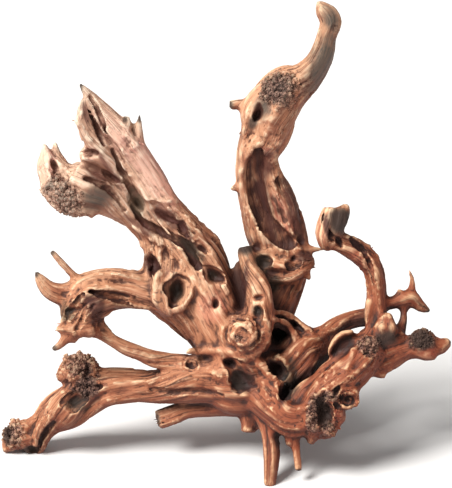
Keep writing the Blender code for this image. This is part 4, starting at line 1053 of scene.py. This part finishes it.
# Marks on the skin by kind: across, up, half width and half height on the sheet, and how far
# their long side turns from upright in degrees.
MARKS = {
    "crust": (
        (66, 288, 13, 21, -35), (279, 398, 18, 17, 0), (422, 149, 12, 11, 0), (368, 143, 11, 11, 0),
        (312, 72, 5, 20, 5), (328, 60, 6, 8, 0), (14, 52, 9, 13, 0), (80, 123, 15, 13, 0),
        (239, 150, 4, 4, 0), (330, 92, 8, 5, 0), (50, 300, 6, 12, 30), (86, 104, 13, 11, 0),
    ),
    "grey": (
        (322, 423, 13, 34, 20), (331, 468, 7, 15, -20), (341, 266, 12, 14, 0), (97, 290, 17, 13, -30),
        (245, 239, 9, 6, 0), (263, 380, 8, 12, 20), (278, 398, 14, 14, 0),
    ),
    # Painted shade, tinted green, laid in the holes and hollows.
    "green": (
        (138, 284, 8, 14, -25), (262, 226, 9, 10, 0), (273, 205, 8, 8, 0), (76, 84, 12, 9, 0),
        (290, 108, 8, 22, 0), (190, 240, 5, 16, -45), (66, 176, 8, 9, 0), (240, 108, 9, 12, 0),
        (257, 178, 5, 6, 0), (281, 150, 9, 9, 0), (176, 196, 8, 11, 0), (214, 212, 6, 6, 0),
    ),
    "dark": (
        (79, 402, 4, 9, 0), (139, 372, 3, 7, 0), (125, 368, 3, 4, 0), (36, 215, 4, 5, 0),
        (51, 237, 4, 5, 0), (53, 139, 4, 4, 0), (245, 240, 9, 7, 0), (230, 383, 3, 5, 0),
        (430, 176, 4, 3, 0), (407, 163, 3, 4, 0), (157, 68, 3, 9, 0), (299, 16, 5, 3, 0),
        (323, 76, 8, 17, -8), (7, 52, 4, 10, 0), (452, 147, 3, 4, 0), (30, 38, 8, 5, 0),
        (341, 267, 12, 13, 0), (422, 149, 13, 12, 0), (253, 366, 5, 9, 18), (386, 150, 12, 9, 0),
    ),
    # Partly stain and partly painted shade: the dark red brown laid in the scoop, the channels and the
    # hollows.
    "stain": (
        (263, 318, 9, 20, 8), (262, 290, 8, 24, -12), (271, 260, 7, 18, -25), (297, 262, 5, 26, -20),
        (294, 282, 5, 30, -20), (168, 270, 7, 19, -58), (186, 256, 6, 11, -30), (152, 222, 8, 13, -35),
        (190, 243, 4, 16, -50), (243, 108, 12, 14, -20), (96, 312, 5, 9, -60), (95, 180, 18, 9, 80),
        (285, 95, 5, 14, 20), (327, 262, 3, 12, -10), (245, 205, 3, 24, 5), (140, 262, 4, 16, -55),
        (88, 100, 14, 8, 70), (110, 318, 3, 30, -35), (86, 372, 3, 16, -15), (304, 232, 8, 6, 0),
    ),
    "pink": (
        (156, 316, 16, 38, -32), (346, 132, 14, 12, 0), (320, 262, 7, 16, 0), (428, 136, 10, 7, 0),
        (90, 335, 8, 8, 0), (338, 70, 6, 10, 0), (48, 325, 9, 18, 0), (212, 180, 14, 16, 0),
        (265, 330, 8, 12, 0), (100, 362, 6, 16, -25), (360, 230, 10, 16, -30), (118, 352, 12, 28, -35),
        (283, 272, 7, 26, -22),
    ),
    "smooth": (
        (156, 316, 15, 32, -32), (205, 192, 18, 30, 0), (100, 288, 17, 15, 0), (345, 130, 14, 12, 0),
        (323, 424, 9, 30, 20), (240, 335, 8, 50, 5), (255, 195, 8, 20, 10), (386, 163, 10, 10, 0),
        (168, 196, 16, 22, 0), (242, 146, 20, 20, 0),
    ),
    "flaky": (
        (372, 224, 12, 40, -15), (74, 170, 22, 24, 0), (30, 60, 26, 26, 0), (338, 90, 22, 30, 0),
        (376, 128, 18, 12, 0), (258, 352, 22, 16, 0), (84, 352, 14, 24, 0), (132, 340, 10, 14, 0),
        (170, 68, 14, 10, 0), (150, 122, 20, 8, 0), (300, 228, 20, 14, 0), (60, 300, 20, 26, 0),
        (156, 232, 14, 20, 0), (186, 262, 14, 22, -45), (318, 60, 20, 20, 0), (70, 112, 24, 20, 0),
        (242, 108, 12, 13, 0), (281, 153, 10, 10, 0),
    ),
}

# How rough and how soft a mark's edge is, the size, shift and share of the noise that roughens
# it, and how far a mark reaches in depth, in half sizes and in millimetres.
EDGES = {"grey": (0.3, 0.6), "dark": (0.2, 0.35), "pink": (0.3, 0.35)}
COMMON_EDGE = (0.5, 0.35)
EDGE_NOISE = ((9, 3.3, 1), (3.7, 0, 0.6))
MARK_DEPTH = 1.3
MARK_DEPTH_MORE = 5


def marked(places, tree, kind):
    """How far each point is inside any mark of a kind, from 0 to 1, with uneven edges."""
    inside = np.zeros(len(places))
    rough, soft = EDGES.get(kind, COMMON_EDGE)
    edge = sum(rough * share * many_noise(places / size + shift) for size, shift, share in EDGE_NOISE)
    for across, up, half_width, half_height, turn in MARKS[kind]:
        deep = front_of(tree, across, up)
        reach = MARK_DEPTH * max(half_width, half_height) + MARK_DEPTH_MORE
        turned = math.radians(turn)
        x = places[:, 0] - across
        y = places[:, 1] - up
        behind = 0 if deep is None else (places[:, 2] - deep) / reach
        side = (x * math.cos(turned) - y * math.sin(turned)) / half_width
        long = (x * math.sin(turned) + y * math.cos(turned)) / half_height
        away = np.sqrt(side ** 2 + long ** 2 + behind ** 2)
        inside = np.maximum(inside, smooth_step(1 + soft, 1 - soft, away + edge))
    return inside


# The crust's lumps, coarse and fine: their size in millimetres, their shift and their share.
CRUST_LUMPS = ((6.5, 0, 1), (3.6, 7, 0.6))
CRUST_HEIGHT = 5.5
CRUST_MEAN = 0.3


def crust_height(places):
    """Crumbly lumps of old bark and dried pith."""
    lumps = sum(share * np.abs(many_noise(places / size + shift)) for size, shift, share in CRUST_LUMPS)
    return CRUST_HEIGHT * (lumps - CRUST_MEAN)


# Curled grain round a knot: across, up, how far it reaches, the gap between its rings and how
# high they stand. The rings waver, and fade towards the edge.
SWIRLS = ((241, 152, 24, 9.5, 1.0), (191, 124, 13, 5.5, 1.4), (348, 89, 13, 5.0, 2.4))
SWIRL_WAVER = 0.25
SWIRL_WAVER_SIZE = 14
SWIRL_CORE = 0.6
SWIRL_SHARPNESS = 0.7
SWIRL_MEAN = 0.65


def swirl_height(places, tree):
    """Curled grain, as rings that wind in round a knot."""
    height = np.zeros(len(places))
    for across, up, reach, gap, high in SWIRLS:
        behind = places[:, 2] - front_of(tree, across, up)
        off = places[:, :2] - (across, up)
        away = np.hypot(off[:, 0], off[:, 1])
        turn = np.arctan2(off[:, 1], off[:, 0])
        wave = away / gap + turn / (2 * math.pi) + SWIRL_WAVER * many_noise(places / SWIRL_WAVER_SIZE)
        wave = np.abs(np.sin(math.pi * wave))
        near = smooth_step(reach, reach * SWIRL_CORE, away) * smooth_step(2 * reach, reach, behind)
        height += high * (wave ** SWIRL_SHARPNESS - SWIRL_MEAN) * near
    return height


# A limb thinner than this radius has lower strands, down to this share.
FULL_RADIUS = 15
LEAST_RELIEF = 0.3


def grain_height(places, lines, gaps, rows, shape):
    """The strands or flakes of the nearest limbs, blended."""
    weights = np.exp(-(gaps - gaps[:, :1]) / NEAR_BLEND)
    weights /= weights.sum(1, keepdims=True)
    height = np.zeros(len(places))
    for rank in range(NEAR_LIMBS):
        thick = np.clip(lines[rows[:, rank], RADIUS] / FULL_RADIUS, LEAST_RELIEF, 1)
        height += weights[:, rank] * thick * shape(grain_at(places, lines, rows[:, rank]))
    return height


# Besides its marks the skin flakes in patches. Its strands are high in places and low in
# others, and lower still where it is worn smooth or crusted.
PATCH_SIZE = 32
PATCH_SHIFT = 5.1
PATCH_EDGE = (0.1, 0.45)
SWELL_SIZE = 45
SWELL_SHIFT = 1.7
SWELL_MEAN = 0.75
SWELL = 0.8
SWELL_RANGE = (0.35, 1.3)
SMOOTH_LOSS = 0.75
CRUST_LOSS = 0.6


def skin_height(places, tree, lines, gaps, rows):
    """How far the worked skin stands off the plain form, in millimetres."""
    crust = marked(places, tree, "crust")
    smooth = marked(places, tree, "smooth")
    patches = smooth_step(*PATCH_EDGE, many_noise(places / PATCH_SIZE + PATCH_SHIFT))
    flaky = np.maximum(marked(places, tree, "flaky"), patches)
    swell = np.clip(SWELL_MEAN + SWELL * many_noise(places / SWELL_SIZE + SWELL_SHIFT), *SWELL_RANGE)
    swell *= (1 - SMOOTH_LOSS * smooth) * (1 - CRUST_LOSS * crust)
    height = swell * grain_height(places, lines, gaps, rows, strand_height)
    height += (1 - smooth) * flaky * grain_height(places, lines, gaps, rows, flake_height)
    return height + crust * crust_height(places) + swirl_height(places, tree)


def worked_root(tree, lines, starts, plain):
    """The root with its skin worked along the grain, thinned and cut flat at the ground."""
    places = on_sheet(rows_of(plain.vertices, "co", 3))
    gaps, rows = nearest_limbs(places, lines, starts)
    height = skin_height(places, tree, lines, gaps, rows) * MM
    points = rows_of(plain.vertices, "co", 3) + rows_of(plain.vertices, "normal", 3) * height[:, None]
    plain.vertices.foreach_set("co", points.astype(np.float32).ravel())
    plain.update()
    item = bpy.data.objects.new("root_skin", plain)
    bpy.context.scene.collection.objects.link(item)
    count = sum(len(face.vertices) - 2 for face in plain.polygons)
    thin = item.modifiers.new("thin_out", "DECIMATE")
    thin.ratio = min(1, TRIANGLES_KEPT / count)
    ground = ground_cut()
    add_boolean(item, ground, "DIFFERENCE")
    skin = made_plain(item)
    for used in (item, ground):
        bpy.data.objects.remove(used, do_unlink=True)
    return skin


# How many ways a point looks for what shades it, how far and from how far off the skin in
# metres, and how low its lowest look is and how far they rise.
LOOKS = 14
LOOK_REACH = 0.06
LOOK_START = 0.0012
LOOK_LOW = 0.12
LOOK_SPAN = 0.86


def shade_at(mesh):
    """How much of its surroundings each vertex can't see, from 0 to 1."""
    corners = [vertex.co.copy() for vertex in mesh.vertices]
    tree = BVHTree.FromPolygons(corners, [tuple(face.vertices) for face in mesh.polygons])
    golden = math.pi * (3 - math.sqrt(5))
    ways = []
    for index in range(LOOKS):
        rise = LOOK_LOW + LOOK_SPAN * (index + 0.5) / LOOKS
        flat = math.sqrt(1 - rise * rise)
        ways.append(Vector((flat * math.cos(golden * index), flat * math.sin(golden * index), rise)))
    shade = np.zeros(len(mesh.vertices))
    for index, vertex in enumerate(mesh.vertices):
        turn = vertex.normal.to_track_quat("Z", "Y")
        start = vertex.co + vertex.normal * LOOK_START
        hits = 0.0
        for way in ways:
            distance = tree.ray_cast(start, turn @ way, LOOK_REACH)[3]
            if distance is not None:
                hits += 1 - distance / LOOK_REACH
        shade[index] = hits / LOOKS
    return shade


def keep_values(mesh, name, columns, domain="POINT"):
    """Stores one to three numbers for each point or corner of the mesh, filled up by the last."""
    filled = [*columns, *columns[-1:] * (3 - len(columns))]
    layer = mesh.attributes.new(name, "FLOAT_VECTOR", domain)
    layer.data.foreach_set("vector", np.stack(filled, 1).astype(np.float32).ravel())


# The most that a share's exponent may be, so that it stays a number.
MOST_EXPONENT = 30


def keep_grain(mesh, lines, starts):
    """Stores the grain of the two nearest limbs at each corner, the same two for a whole face."""
    places = on_sheet(rows_of(mesh.vertices, "co", 3))
    corners = rows_of(mesh.loops, "vertex_index", 1)[:, 0].astype(int)
    sizes = [len(face.vertices) for face in mesh.polygons]
    faces = np.repeat(np.arange(len(sizes)), sizes)
    middles = on_sheet(rows_of(mesh.polygons, "center", 3))
    _, near = nearest_limbs(middles, lines, starts)
    numbers = lines[near, NUMBER].astype(int)
    spots = places[corners]
    gaps = []
    for rank, name in enumerate(("grain_near", "grain_next")):
        best = np.empty(len(spots), int)
        gap = np.full(len(spots), np.inf)
        own = numbers[faces, rank]
        for number in range(len(starts) - 1):
            chosen = np.nonzero(own == number)[0]
            if not len(chosen):
                continue
            rows = lines[starts[number]:starts[number + 1]]
            away = np.linalg.norm(spots[chosen, None] - rows[None, :, PLACE], axis=2) - rows[:, RADIUS]
            pick = away.argmin(1)
            best[chosen] = pick + starts[number]
            gap[chosen] = away[np.arange(len(chosen)), pick]
        keep_values(mesh, name, list(grain_at(spots, lines, best).T * MM), "CORNER")
        gaps.append(gap)
    lead = np.clip((gaps[1] - gaps[0]) / NEAR_BLEND, -MOST_EXPONENT, MOST_EXPONENT)
    keep_values(mesh, "grain_share", [1 / (1 + np.exp(lead))], "CORNER")


# A cavity is what lies below the skin when that is evened out this many times.
FINE_EVENING = 3
WIDE_EVENING = 24


def cavity_at(mesh):
    """How far each vertex lies below its surroundings, in millimetres: nearby and further off."""
    ends = rows_of(mesh.edges, "vertices", 2).astype(int)
    first = np.concatenate([ends[:, 0], ends[:, 1]])
    second = np.concatenate([ends[:, 1], ends[:, 0]])
    places = rows_of(mesh.vertices, "co", 3) / MM
    normals = rows_of(mesh.vertices, "normal", 3)
    counts = np.maximum(np.bincount(first, minlength=len(places)), 1)
    evened = places
    found = []
    for turn in range(WIDE_EVENING):
        sums = [np.bincount(first, evened[second, axis], len(places)) for axis in range(3)]
        evened = np.stack(sums, 1) / counts[:, None]
        if turn + 1 in (FINE_EVENING, WIDE_EVENING):
            found.append(((evened - places) * normals).sum(1))
    return found


# Where the colour turns and is full, on the sheet in millimetres: darker and redder to the lower right,
# low down and under the middle left limb, and paler at the upper left. Painted shade darkens the
# underside, and painted light makes what faces the key lamp lighter. Nothing loose lies near the
# ground, in metres.
WARM_SLOPE = 1.1
WARM_ACROSS = (-60, 200)
WARM_LOW = (210, 90)
WARM_LOW_SHARE = 0.55
WARM_LEFT = (160, 120)
WARM_LEFT_UP = (225, 185)
WARM_LEFT_SHARE = 0.4
PALE_ACROSS = (200, 150)
PALE_UP = (225, 290)
UNDERSIDE_SHADE = (0.1, -0.8)
KEY_LAMP_WAY = (-0.5, -0.42, 0.76)
LAMP_FACING_RANGE = (0.1, 0.95)
CLEAR_OF_GROUND = (0.004, 0.01)


def keep_marks(mesh, tree, lines, starts):
    """Stores cavities, shade, tint, painted shade and light, marks and the grain's way at each vertex."""
    points = rows_of(mesh.vertices, "co", 3)
    normals = rows_of(mesh.vertices, "normal", 3)
    places = on_sheet(points)
    across, up = places[:, 0], places[:, 1]
    keep_values(mesh, "form", [*cavity_at(mesh), shade_at(mesh)])
    found = {kind: marked(places, tree, kind) for kind in MARKS}
    keep_values(mesh, "marks_first", [found["crust"], found["grey"], found["green"]])
    keep_values(mesh, "marks_second", [found["dark"], found["pink"], found["stain"]])
    warm = smooth_step(*WARM_ACROSS, across - WARM_SLOPE * up)
    warm = np.maximum(warm, WARM_LOW_SHARE * smooth_step(*WARM_LOW, up))
    left = smooth_step(*WARM_LEFT, across)
    warm = np.maximum(warm, WARM_LEFT_SHARE * left * smooth_step(*WARM_LEFT_UP, up))
    pale = smooth_step(*PALE_ACROSS, across) * smooth_step(*PALE_UP, up)
    # Painted shade: the underside is darkened.
    under = smooth_step(*UNDERSIDE_SHADE, normals[:, 2])
    # Painted light: what faces the key lamp is lightened.
    lamp_facing = smooth_step(*LAMP_FACING_RANGE, normals @ KEY_LAMP_WAY)
    keep_values(mesh, "tint_and_painted_light", [warm, under, lamp_facing])
    keep_values(mesh, "worn", [found["smooth"], pale])
    ways = lines[nearest_limbs(places, lines, starts)[1][:, 0], ALONG]
    forward = ways[:, 1] * math.sin(LEAN) + ways[:, 2] * math.cos(LEAN)
    rise = ways[:, 1] * math.cos(LEAN) - ways[:, 2] * math.sin(LEAN)
    keep_values(mesh, "grain_way", [ways[:, 0], forward, rise])
    clear = smooth_step(*CLEAR_OF_GROUND, points[:, 2])
    flaky = found["flaky"] * (1 - found["crust"])
    for name, share in (("crumbly", found["crust"]), ("flaky", flaky)):
        layer = mesh.attributes.new(name, "FLOAT", "POINT")
        layer.data.foreach_set("value", (clear * share).astype(np.float32))


class Wire:
    """A shader socket that can be added, multiplied and so on with others and with numbers."""

    def __init__(self, tree, socket=None):
        self.tree = tree
        self.socket = socket

    def node(self, kind, settings, values, output=0):
        """The output of a new node with these settings and socket values or links."""
        made = self.tree.nodes.new(kind)
        for name, value in settings.items():
            setattr(made, name, value)
        for name, value in values.items():
            if isinstance(value, Wire):
                self.tree.links.new(value.socket, made.inputs[name])
            else:
                made.inputs[name].default_value = value
        return Wire(self.tree, made.outputs[output])

    def maths(self, operation, first, second=0.0):
        """A Math node of one or two sockets or numbers."""
        return self.node("ShaderNodeMath", {"operation": operation}, {0: first, 1: second})

    def __add__(self, other):
        return self.maths("ADD", self, other)

    def __sub__(self, other):
        return self.maths("SUBTRACT", self, other)

    def __mul__(self, other):
        return self.maths("MULTIPLY", self, other)

    def __rsub__(self, other):
        return self.maths("SUBTRACT", other, self)

    __radd__ = __add__
    __rmul__ = __mul__

    def step(self, low, high):
        """Rises smoothly from 0 to 1 between two values."""
        settings = {"interpolation_type": "SMOOTHSTEP"}
        values = {"Value": self, "From Min": low, "From Max": high}
        return self.node("ShaderNodeMapRange", settings, values)

    def mixed(self, first, second):
        """The first colour where this is 0, the second where it is 1."""
        values = {0: self, 6: first, 7: second}
        return self.node("ShaderNodeMix", {"data_type": "RGBA"}, values, 2)


# The colours of the wood and its crust, and of the painted shade and painted light laid on them, on
# the screen's scale of 0 to 255, and how strong the fine relief of the grain is.
COLOURS = {
    "brown wood": (148, 88, 60), "tan wood": (194, 132, 98), "red blotch": (166, 98, 76),
    "pink wood": (202, 122, 104), "painted lamp light": (230, 180, 142), "light streak": (230, 182, 148),
    "warm wood": (150, 78, 46), "dark streak": (100, 54, 36), "dark fibre": (98, 54, 38),
    "light fibre": (236, 200, 168), "brown spot": (112, 60, 42), "worn ridge and painted highlight": (250, 220, 186),
    "grey wood": (82, 74, 66), "crack": (72, 38, 26), "hair crack": (92, 50, 34),
    "crease shade": (70, 34, 21), "dip shade": (86, 44, 28), "underside shade": (104, 48, 28),
    "deep shade": (72, 33, 20), "stain": (80, 37, 27), "green hollow shade": (52, 47, 30),
    "dark crumb": (84, 58, 52), "light crumb": (186, 146, 128), "crumb gap shade": (52, 34, 28),
    "old end": (56, 38, 30),
}
RELIEF = {"Strength": 0.9, "Distance": 0.003}


def colour(name):
    """A colour of the table as light, by the curve that screens use."""
    scaled = [part / 255 for part in COLOURS[name]]
    return (*[v / 12.92 if v <= 0.04045 else ((v + 0.055) / 1.055) ** 2.4 for v in scaled], 1.0)


def skin_material():
    """Bare weathered wood: pink tan, painted cream highlights on its ridges, red brown stain and painted
    shade in its hollows.
    """
    material = bpy.data.materials.new("root_wood_skin")
    material.use_nodes = True
    tree = material.node_tree
    surface = tree.nodes["Principled BSDF"]
    start = Wire(tree)

    def read(name):
        """A kept value, as a whole and as its three numbers."""
        source = start.node("ShaderNodeAttribute", {"attribute_name": name}, {}, "Vector")
        parts = tree.nodes.new("ShaderNodeSeparateXYZ")
        tree.links.new(source.socket, parts.inputs[0])
        return source, [Wire(tree, output) for output in parts.outputs]

    def pattern(spots, scale, stretch, detail=3.0, rough=0.6, distortion=0.0):
        """Noise that is stretched along the third way."""
        values = {0: spots, 1: (1, 1, 1 / stretch)}
        moved = start.node("ShaderNodeVectorMath", {"operation": "MULTIPLY"}, values, "Vector")
        values = {"Vector": moved, "Scale": scale, "Detail": detail, "Roughness": rough}
        return start.node("ShaderNodeTexNoise", {}, {**values, "Distortion": distortion}, "Fac")

    near, _ = read("grain_near")
    beyond, _ = read("grain_next")
    share = read("grain_share")[1][0]
    fine, wide, shade = read("form")[1]
    crust, grey, green = read("marks_first")[1]
    dark, pink, stain = read("marks_second")[1]
    warm, under, lamp_facing = read("tint_and_painted_light")[1]
    smooth, pale, _ = read("worn")[1]

    def along(scale, stretch, **more):
        """The pattern along the grain, blended between the two nearest limbs."""
        first = pattern(near, scale, stretch, **more)
        second = pattern(beyond, scale, stretch, **more)
        return first + (second - first) * share

    def creases(scale, stretch, width, **more):
        """Thin lines along the grain, 1 in the line and 0 beside it."""
        off = start.maths("ABSOLUTE", along(scale, stretch, **more) - 0.5)
        return off.step(width, 0.0)

    place = start.node("ShaderNodeTexCoord", {}, {}, "Object")
    fibre = along(430, 18, detail=3.0)
    streak = along(150, 13, detail=4.0, distortion=0.5)
    band = along(60, 8, detail=4.0, distortion=0.8)
    cracks = creases(110, 30, 0.022, detail=1.0)
    hairs = creases(320, 50, 0.03, detail=0.0)
    blotch = pattern(place, 34, 1, detail=4.0)
    spots = pattern(place, 130, 1, detail=3.0)
    crumb_values = {"Vector": place, "Scale": 300.0, "Randomness": 1.0}
    crumb = start.node("ShaderNodeTexVoronoi", {"feature": "F1"}, crumb_values, "Distance")
    grit = pattern(place, 500, 1, detail=3.0, rough=0.7)

    layers = (
        (blotch.step(0.42, 0.66) * 0.5, "red blotch"),
        (pink * 0.8, "pink wood"),
        # Painted light: cream where the skin faces the key lamp.
        (lamp_facing * 0.6, "painted lamp light"),
        (streak.step(0.54, 0.7) * 0.65, "light streak"),
        (warm * 0.68, "warm wood"),
        (streak.step(0.46, 0.28) * 0.75, "dark streak"),
        (fibre.step(0.48, 0.3) * 0.75, "dark fibre"),
        (fibre.step(0.54, 0.7) * (0.5 - 0.25 * warm), "light fibre"),
        (spots.step(0.56, 0.7) * 0.5, "brown spot"),
        # Partly rubbed ridges and partly a painted highlight: cream on the convex ridges, more where they
        # face the key lamp.
        (fine.step(-0.15, -0.8) * (0.25 + 0.6 * lamp_facing) * (0.4 + fibre), "worn ridge and painted highlight"),
        (grey * (0.4 + fibre), "grey wood"),
        (cracks * streak.step(0.5, 0.4) * 0.7, "crack"),
        (hairs * streak.step(0.55, 0.4) * 0.3, "hair crack"),
        # Painted shade in the creases, where the skin lies below its near surroundings.
        (fine.step(0.1, 0.6) * 0.85, "crease shade"),
        # Painted shade in the wider dips.
        (wide.step(0.5, 2.8) * 0.65, "dip shade"),
        # Painted shade on the underside.
        (under * 0.65, "underside shade"),
        (shade.step(0.08, 0.5) * 0.88, "deep shade"),
        # Partly stain and partly painted shade: dark red brown in the scoop, the channels and the
        # hollows.
        (stain * 0.86, "stain"),
        # Painted shade, tinted green, in the holes and hollows.
        (green * 0.6, "green hollow shade"),
    )
    skin = band.step(0.3, 0.7).mixed(colour("brown wood"), colour("tan wood"))
    for mask, name in layers:
        skin = mask.mixed(skin, colour(name))
    # Gamma darkens the colour: more to the lower right, and as painted shade where the skin can't see its
    # surroundings; less at the upper left.
    depth = 1.04 + 0.36 * warm - 0.38 * pale * (1 - grey) + 0.25 * shade
    skin = start.node("ShaderNodeGamma", {}, {"Color": skin, "Gamma": depth}, "Color")
    crumbs = grit.step(0.4, 0.62).mixed(colour("dark crumb"), colour("light crumb"))
    # Painted shade in the gaps between the crumbs.
    crumbs = crumb.step(0.35, 0.75).mixed(crumbs, colour("crumb gap shade"))
    skin = (crust * 0.7).mixed(skin, crumbs)
    skin = (dark * (0.8 + 0.25 * fibre)).mixed(skin, colour("old end"))
    tree.links.new(skin.socket, surface.inputs["Base Color"])
    tree.links.new((0.8 - 0.16 * streak - 0.1 * smooth).socket, surface.inputs["Roughness"])

    relief = band * 0.45 + streak * 0.42 + fibre * 0.2 - cracks * 0.18 - hairs * 0.05
    relief = relief * (1 - 0.5 * smooth) + crust * (grit * 0.3 - crumb * 0.5)
    bump = start.node("ShaderNodeBump", {}, {"Height": relief, **RELIEF}, "Normal")
    tree.links.new(bump.socket, surface.inputs["Normal"])
    return material


limb_lines, limb_starts = centre_lines()
plain_root, limb_tree = fused_root()
root_skin = worked_root(limb_tree, limb_lines, limb_starts, plain_root)
keep_grain(root_skin, limb_lines, limb_starts)
keep_marks(root_skin, limb_tree, limb_lines, limb_starts)
root_skin.materials.clear()
root_skin.materials.append(skin_material())
for face in root_skin.polygons:
    face.use_smooth = True
root = bpy.data.objects.new("driftwood_root", root_skin)
bpy.context.scene.collection.objects.link(root)
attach(root, "root")
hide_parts("root_wood")

# What lies loose on the skin: crumbs of old bark on the crusts, and splinters of wood where it
# flakes. They have come away by weather and hang on where they broke. Each is a small spindle,
# strewn by chance along the grain and pushed out of true, with its sizes in metres.
CRUMBS = {
    "Mask": "crumbly", "Per square metre": 420000.0, "Smallest": (0.0006, 0.0006, 0.0006),
    "Largest": (0.0017, 0.0014, 0.0022), "Wander": 2.0, "Seed": 3,
}
SPLINTERS = {
    "Mask": "flaky", "Per square metre": 10000.0, "Smallest": (0.0004, 0.0005, 0.0015),
    "Largest": (0.0008, 0.001, 0.0045), "Wander": 0.2, "Seed": 5,
}
OUT_OF_TRUE = 0.0014
OUT_OF_TRUE_SCALE = 500.0


def strewing_tree():
    """Nodes that strew small spindles over a mesh where a mask says, along its grain."""
    tree = bpy.data.node_groups.new("strewing", "GeometryNodeTree")
    tree.is_modifier = True
    kinds = {
        "Root": "Geometry", "Mask": "String", "Per square metre": "Float", "Smallest": "Vector",
        "Largest": "Vector", "Wander": "Float", "Seed": "Int", "Wood": "Material",
    }
    for name, kind in kinds.items():
        tree.interface.new_socket(name, in_out="INPUT", socket_type="NodeSocket" + kind)
    tree.interface.new_socket("Strewn", in_out="OUTPUT", socket_type="NodeSocketGeometry")
    start = Wire(tree)
    given = tree.nodes.new("NodeGroupInput")
    taken = {name: Wire(tree, given.outputs[name]) for name in kinds}

    def kept(name, kind):
        return start.node("GeometryNodeInputNamedAttribute", {"data_type": kind}, {"Name": name})

    def by_chance(low, high):
        values = {0: low, 1: high, "Seed": taken["Seed"]}
        return start.node("FunctionNodeRandomValue", {"data_type": "FLOAT_VECTOR"}, values)

    density = kept(taken["Mask"], "FLOAT") * taken["Per square metre"]
    values = {"Mesh": taken["Root"], "Density": density, "Seed": taken["Seed"]}
    points = start.node("GeometryNodeDistributePointsOnFaces", {}, values, "Points")
    spindle = start.node("GeometryNodeMeshIcoSphere", {}, {"Radius": 1.0, "Subdivisions": 1}, "Mesh")
    values = {0: by_chance((-1, -1, -1), (1, 1, 1)), "Scale": taken["Wander"]}
    wander = start.node("ShaderNodeVectorMath", {"operation": "SCALE"}, values, "Vector")
    values = {0: kept("grain_way", "FLOAT_VECTOR"), 1: wander}
    way = start.node("ShaderNodeVectorMath", {}, values, "Vector")
    turned = start.node("FunctionNodeAlignRotationToVector", {"axis": "Z"}, {"Vector": way}, "Rotation")
    values = {
        "Points": points, "Instance": spindle, "Rotation": turned,
        "Scale": by_chance(taken["Smallest"], taken["Largest"]),
    }
    made = start.node("GeometryNodeInstanceOnPoints", {}, values, "Instances")
    made = start.node("GeometryNodeRealizeInstances", {}, {"Geometry": made}, "Geometry")
    chance = start.node("ShaderNodeTexNoise", {}, {"Scale": OUT_OF_TRUE_SCALE, "Detail": 1.0}, "Color")
    values = {0: chance, 1: (OUT_OF_TRUE,) * 3, 2: (-OUT_OF_TRUE / 2,) * 3}
    push = start.node("ShaderNodeVectorMath", {"operation": "MULTIPLY_ADD"}, values, "Vector")
    made = start.node("GeometryNodeSetPosition", {}, {"Geometry": made, "Offset": push}, "Geometry")
    values = {"Geometry": made, "Material": taken["Wood"]}
    made = start.node("GeometryNodeSetMaterial", {}, values, "Geometry")
    tree.links.new(made.socket, tree.nodes.new("NodeGroupOutput").inputs[0])
    return tree


def strewn(name, skin, tree, wanted):
    """A piece strewn over the skin by the nodes."""
    item = bpy.data.objects.new(name, skin)
    bpy.context.scene.collection.objects.link(item)
    strewing = item.modifiers.new("strewing", "NODES")
    strewing.node_group = tree
    wanted = {**wanted, "Wood": skin.materials[0]}
    for socket in tree.interface.items_tree:
        if socket.name in wanted:
            strewing[socket.identifier] = wanted[socket.name]
    made = made_plain(item)
    item.modifiers.clear()
    item.data = made
    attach(item, "root")


strewing_nodes = strewing_tree()
strewn("crust_crumbs", root_skin, strewing_nodes, CRUMBS)
strewn("loose_splinters", root_skin, strewing_nodes, SPLINTERS)
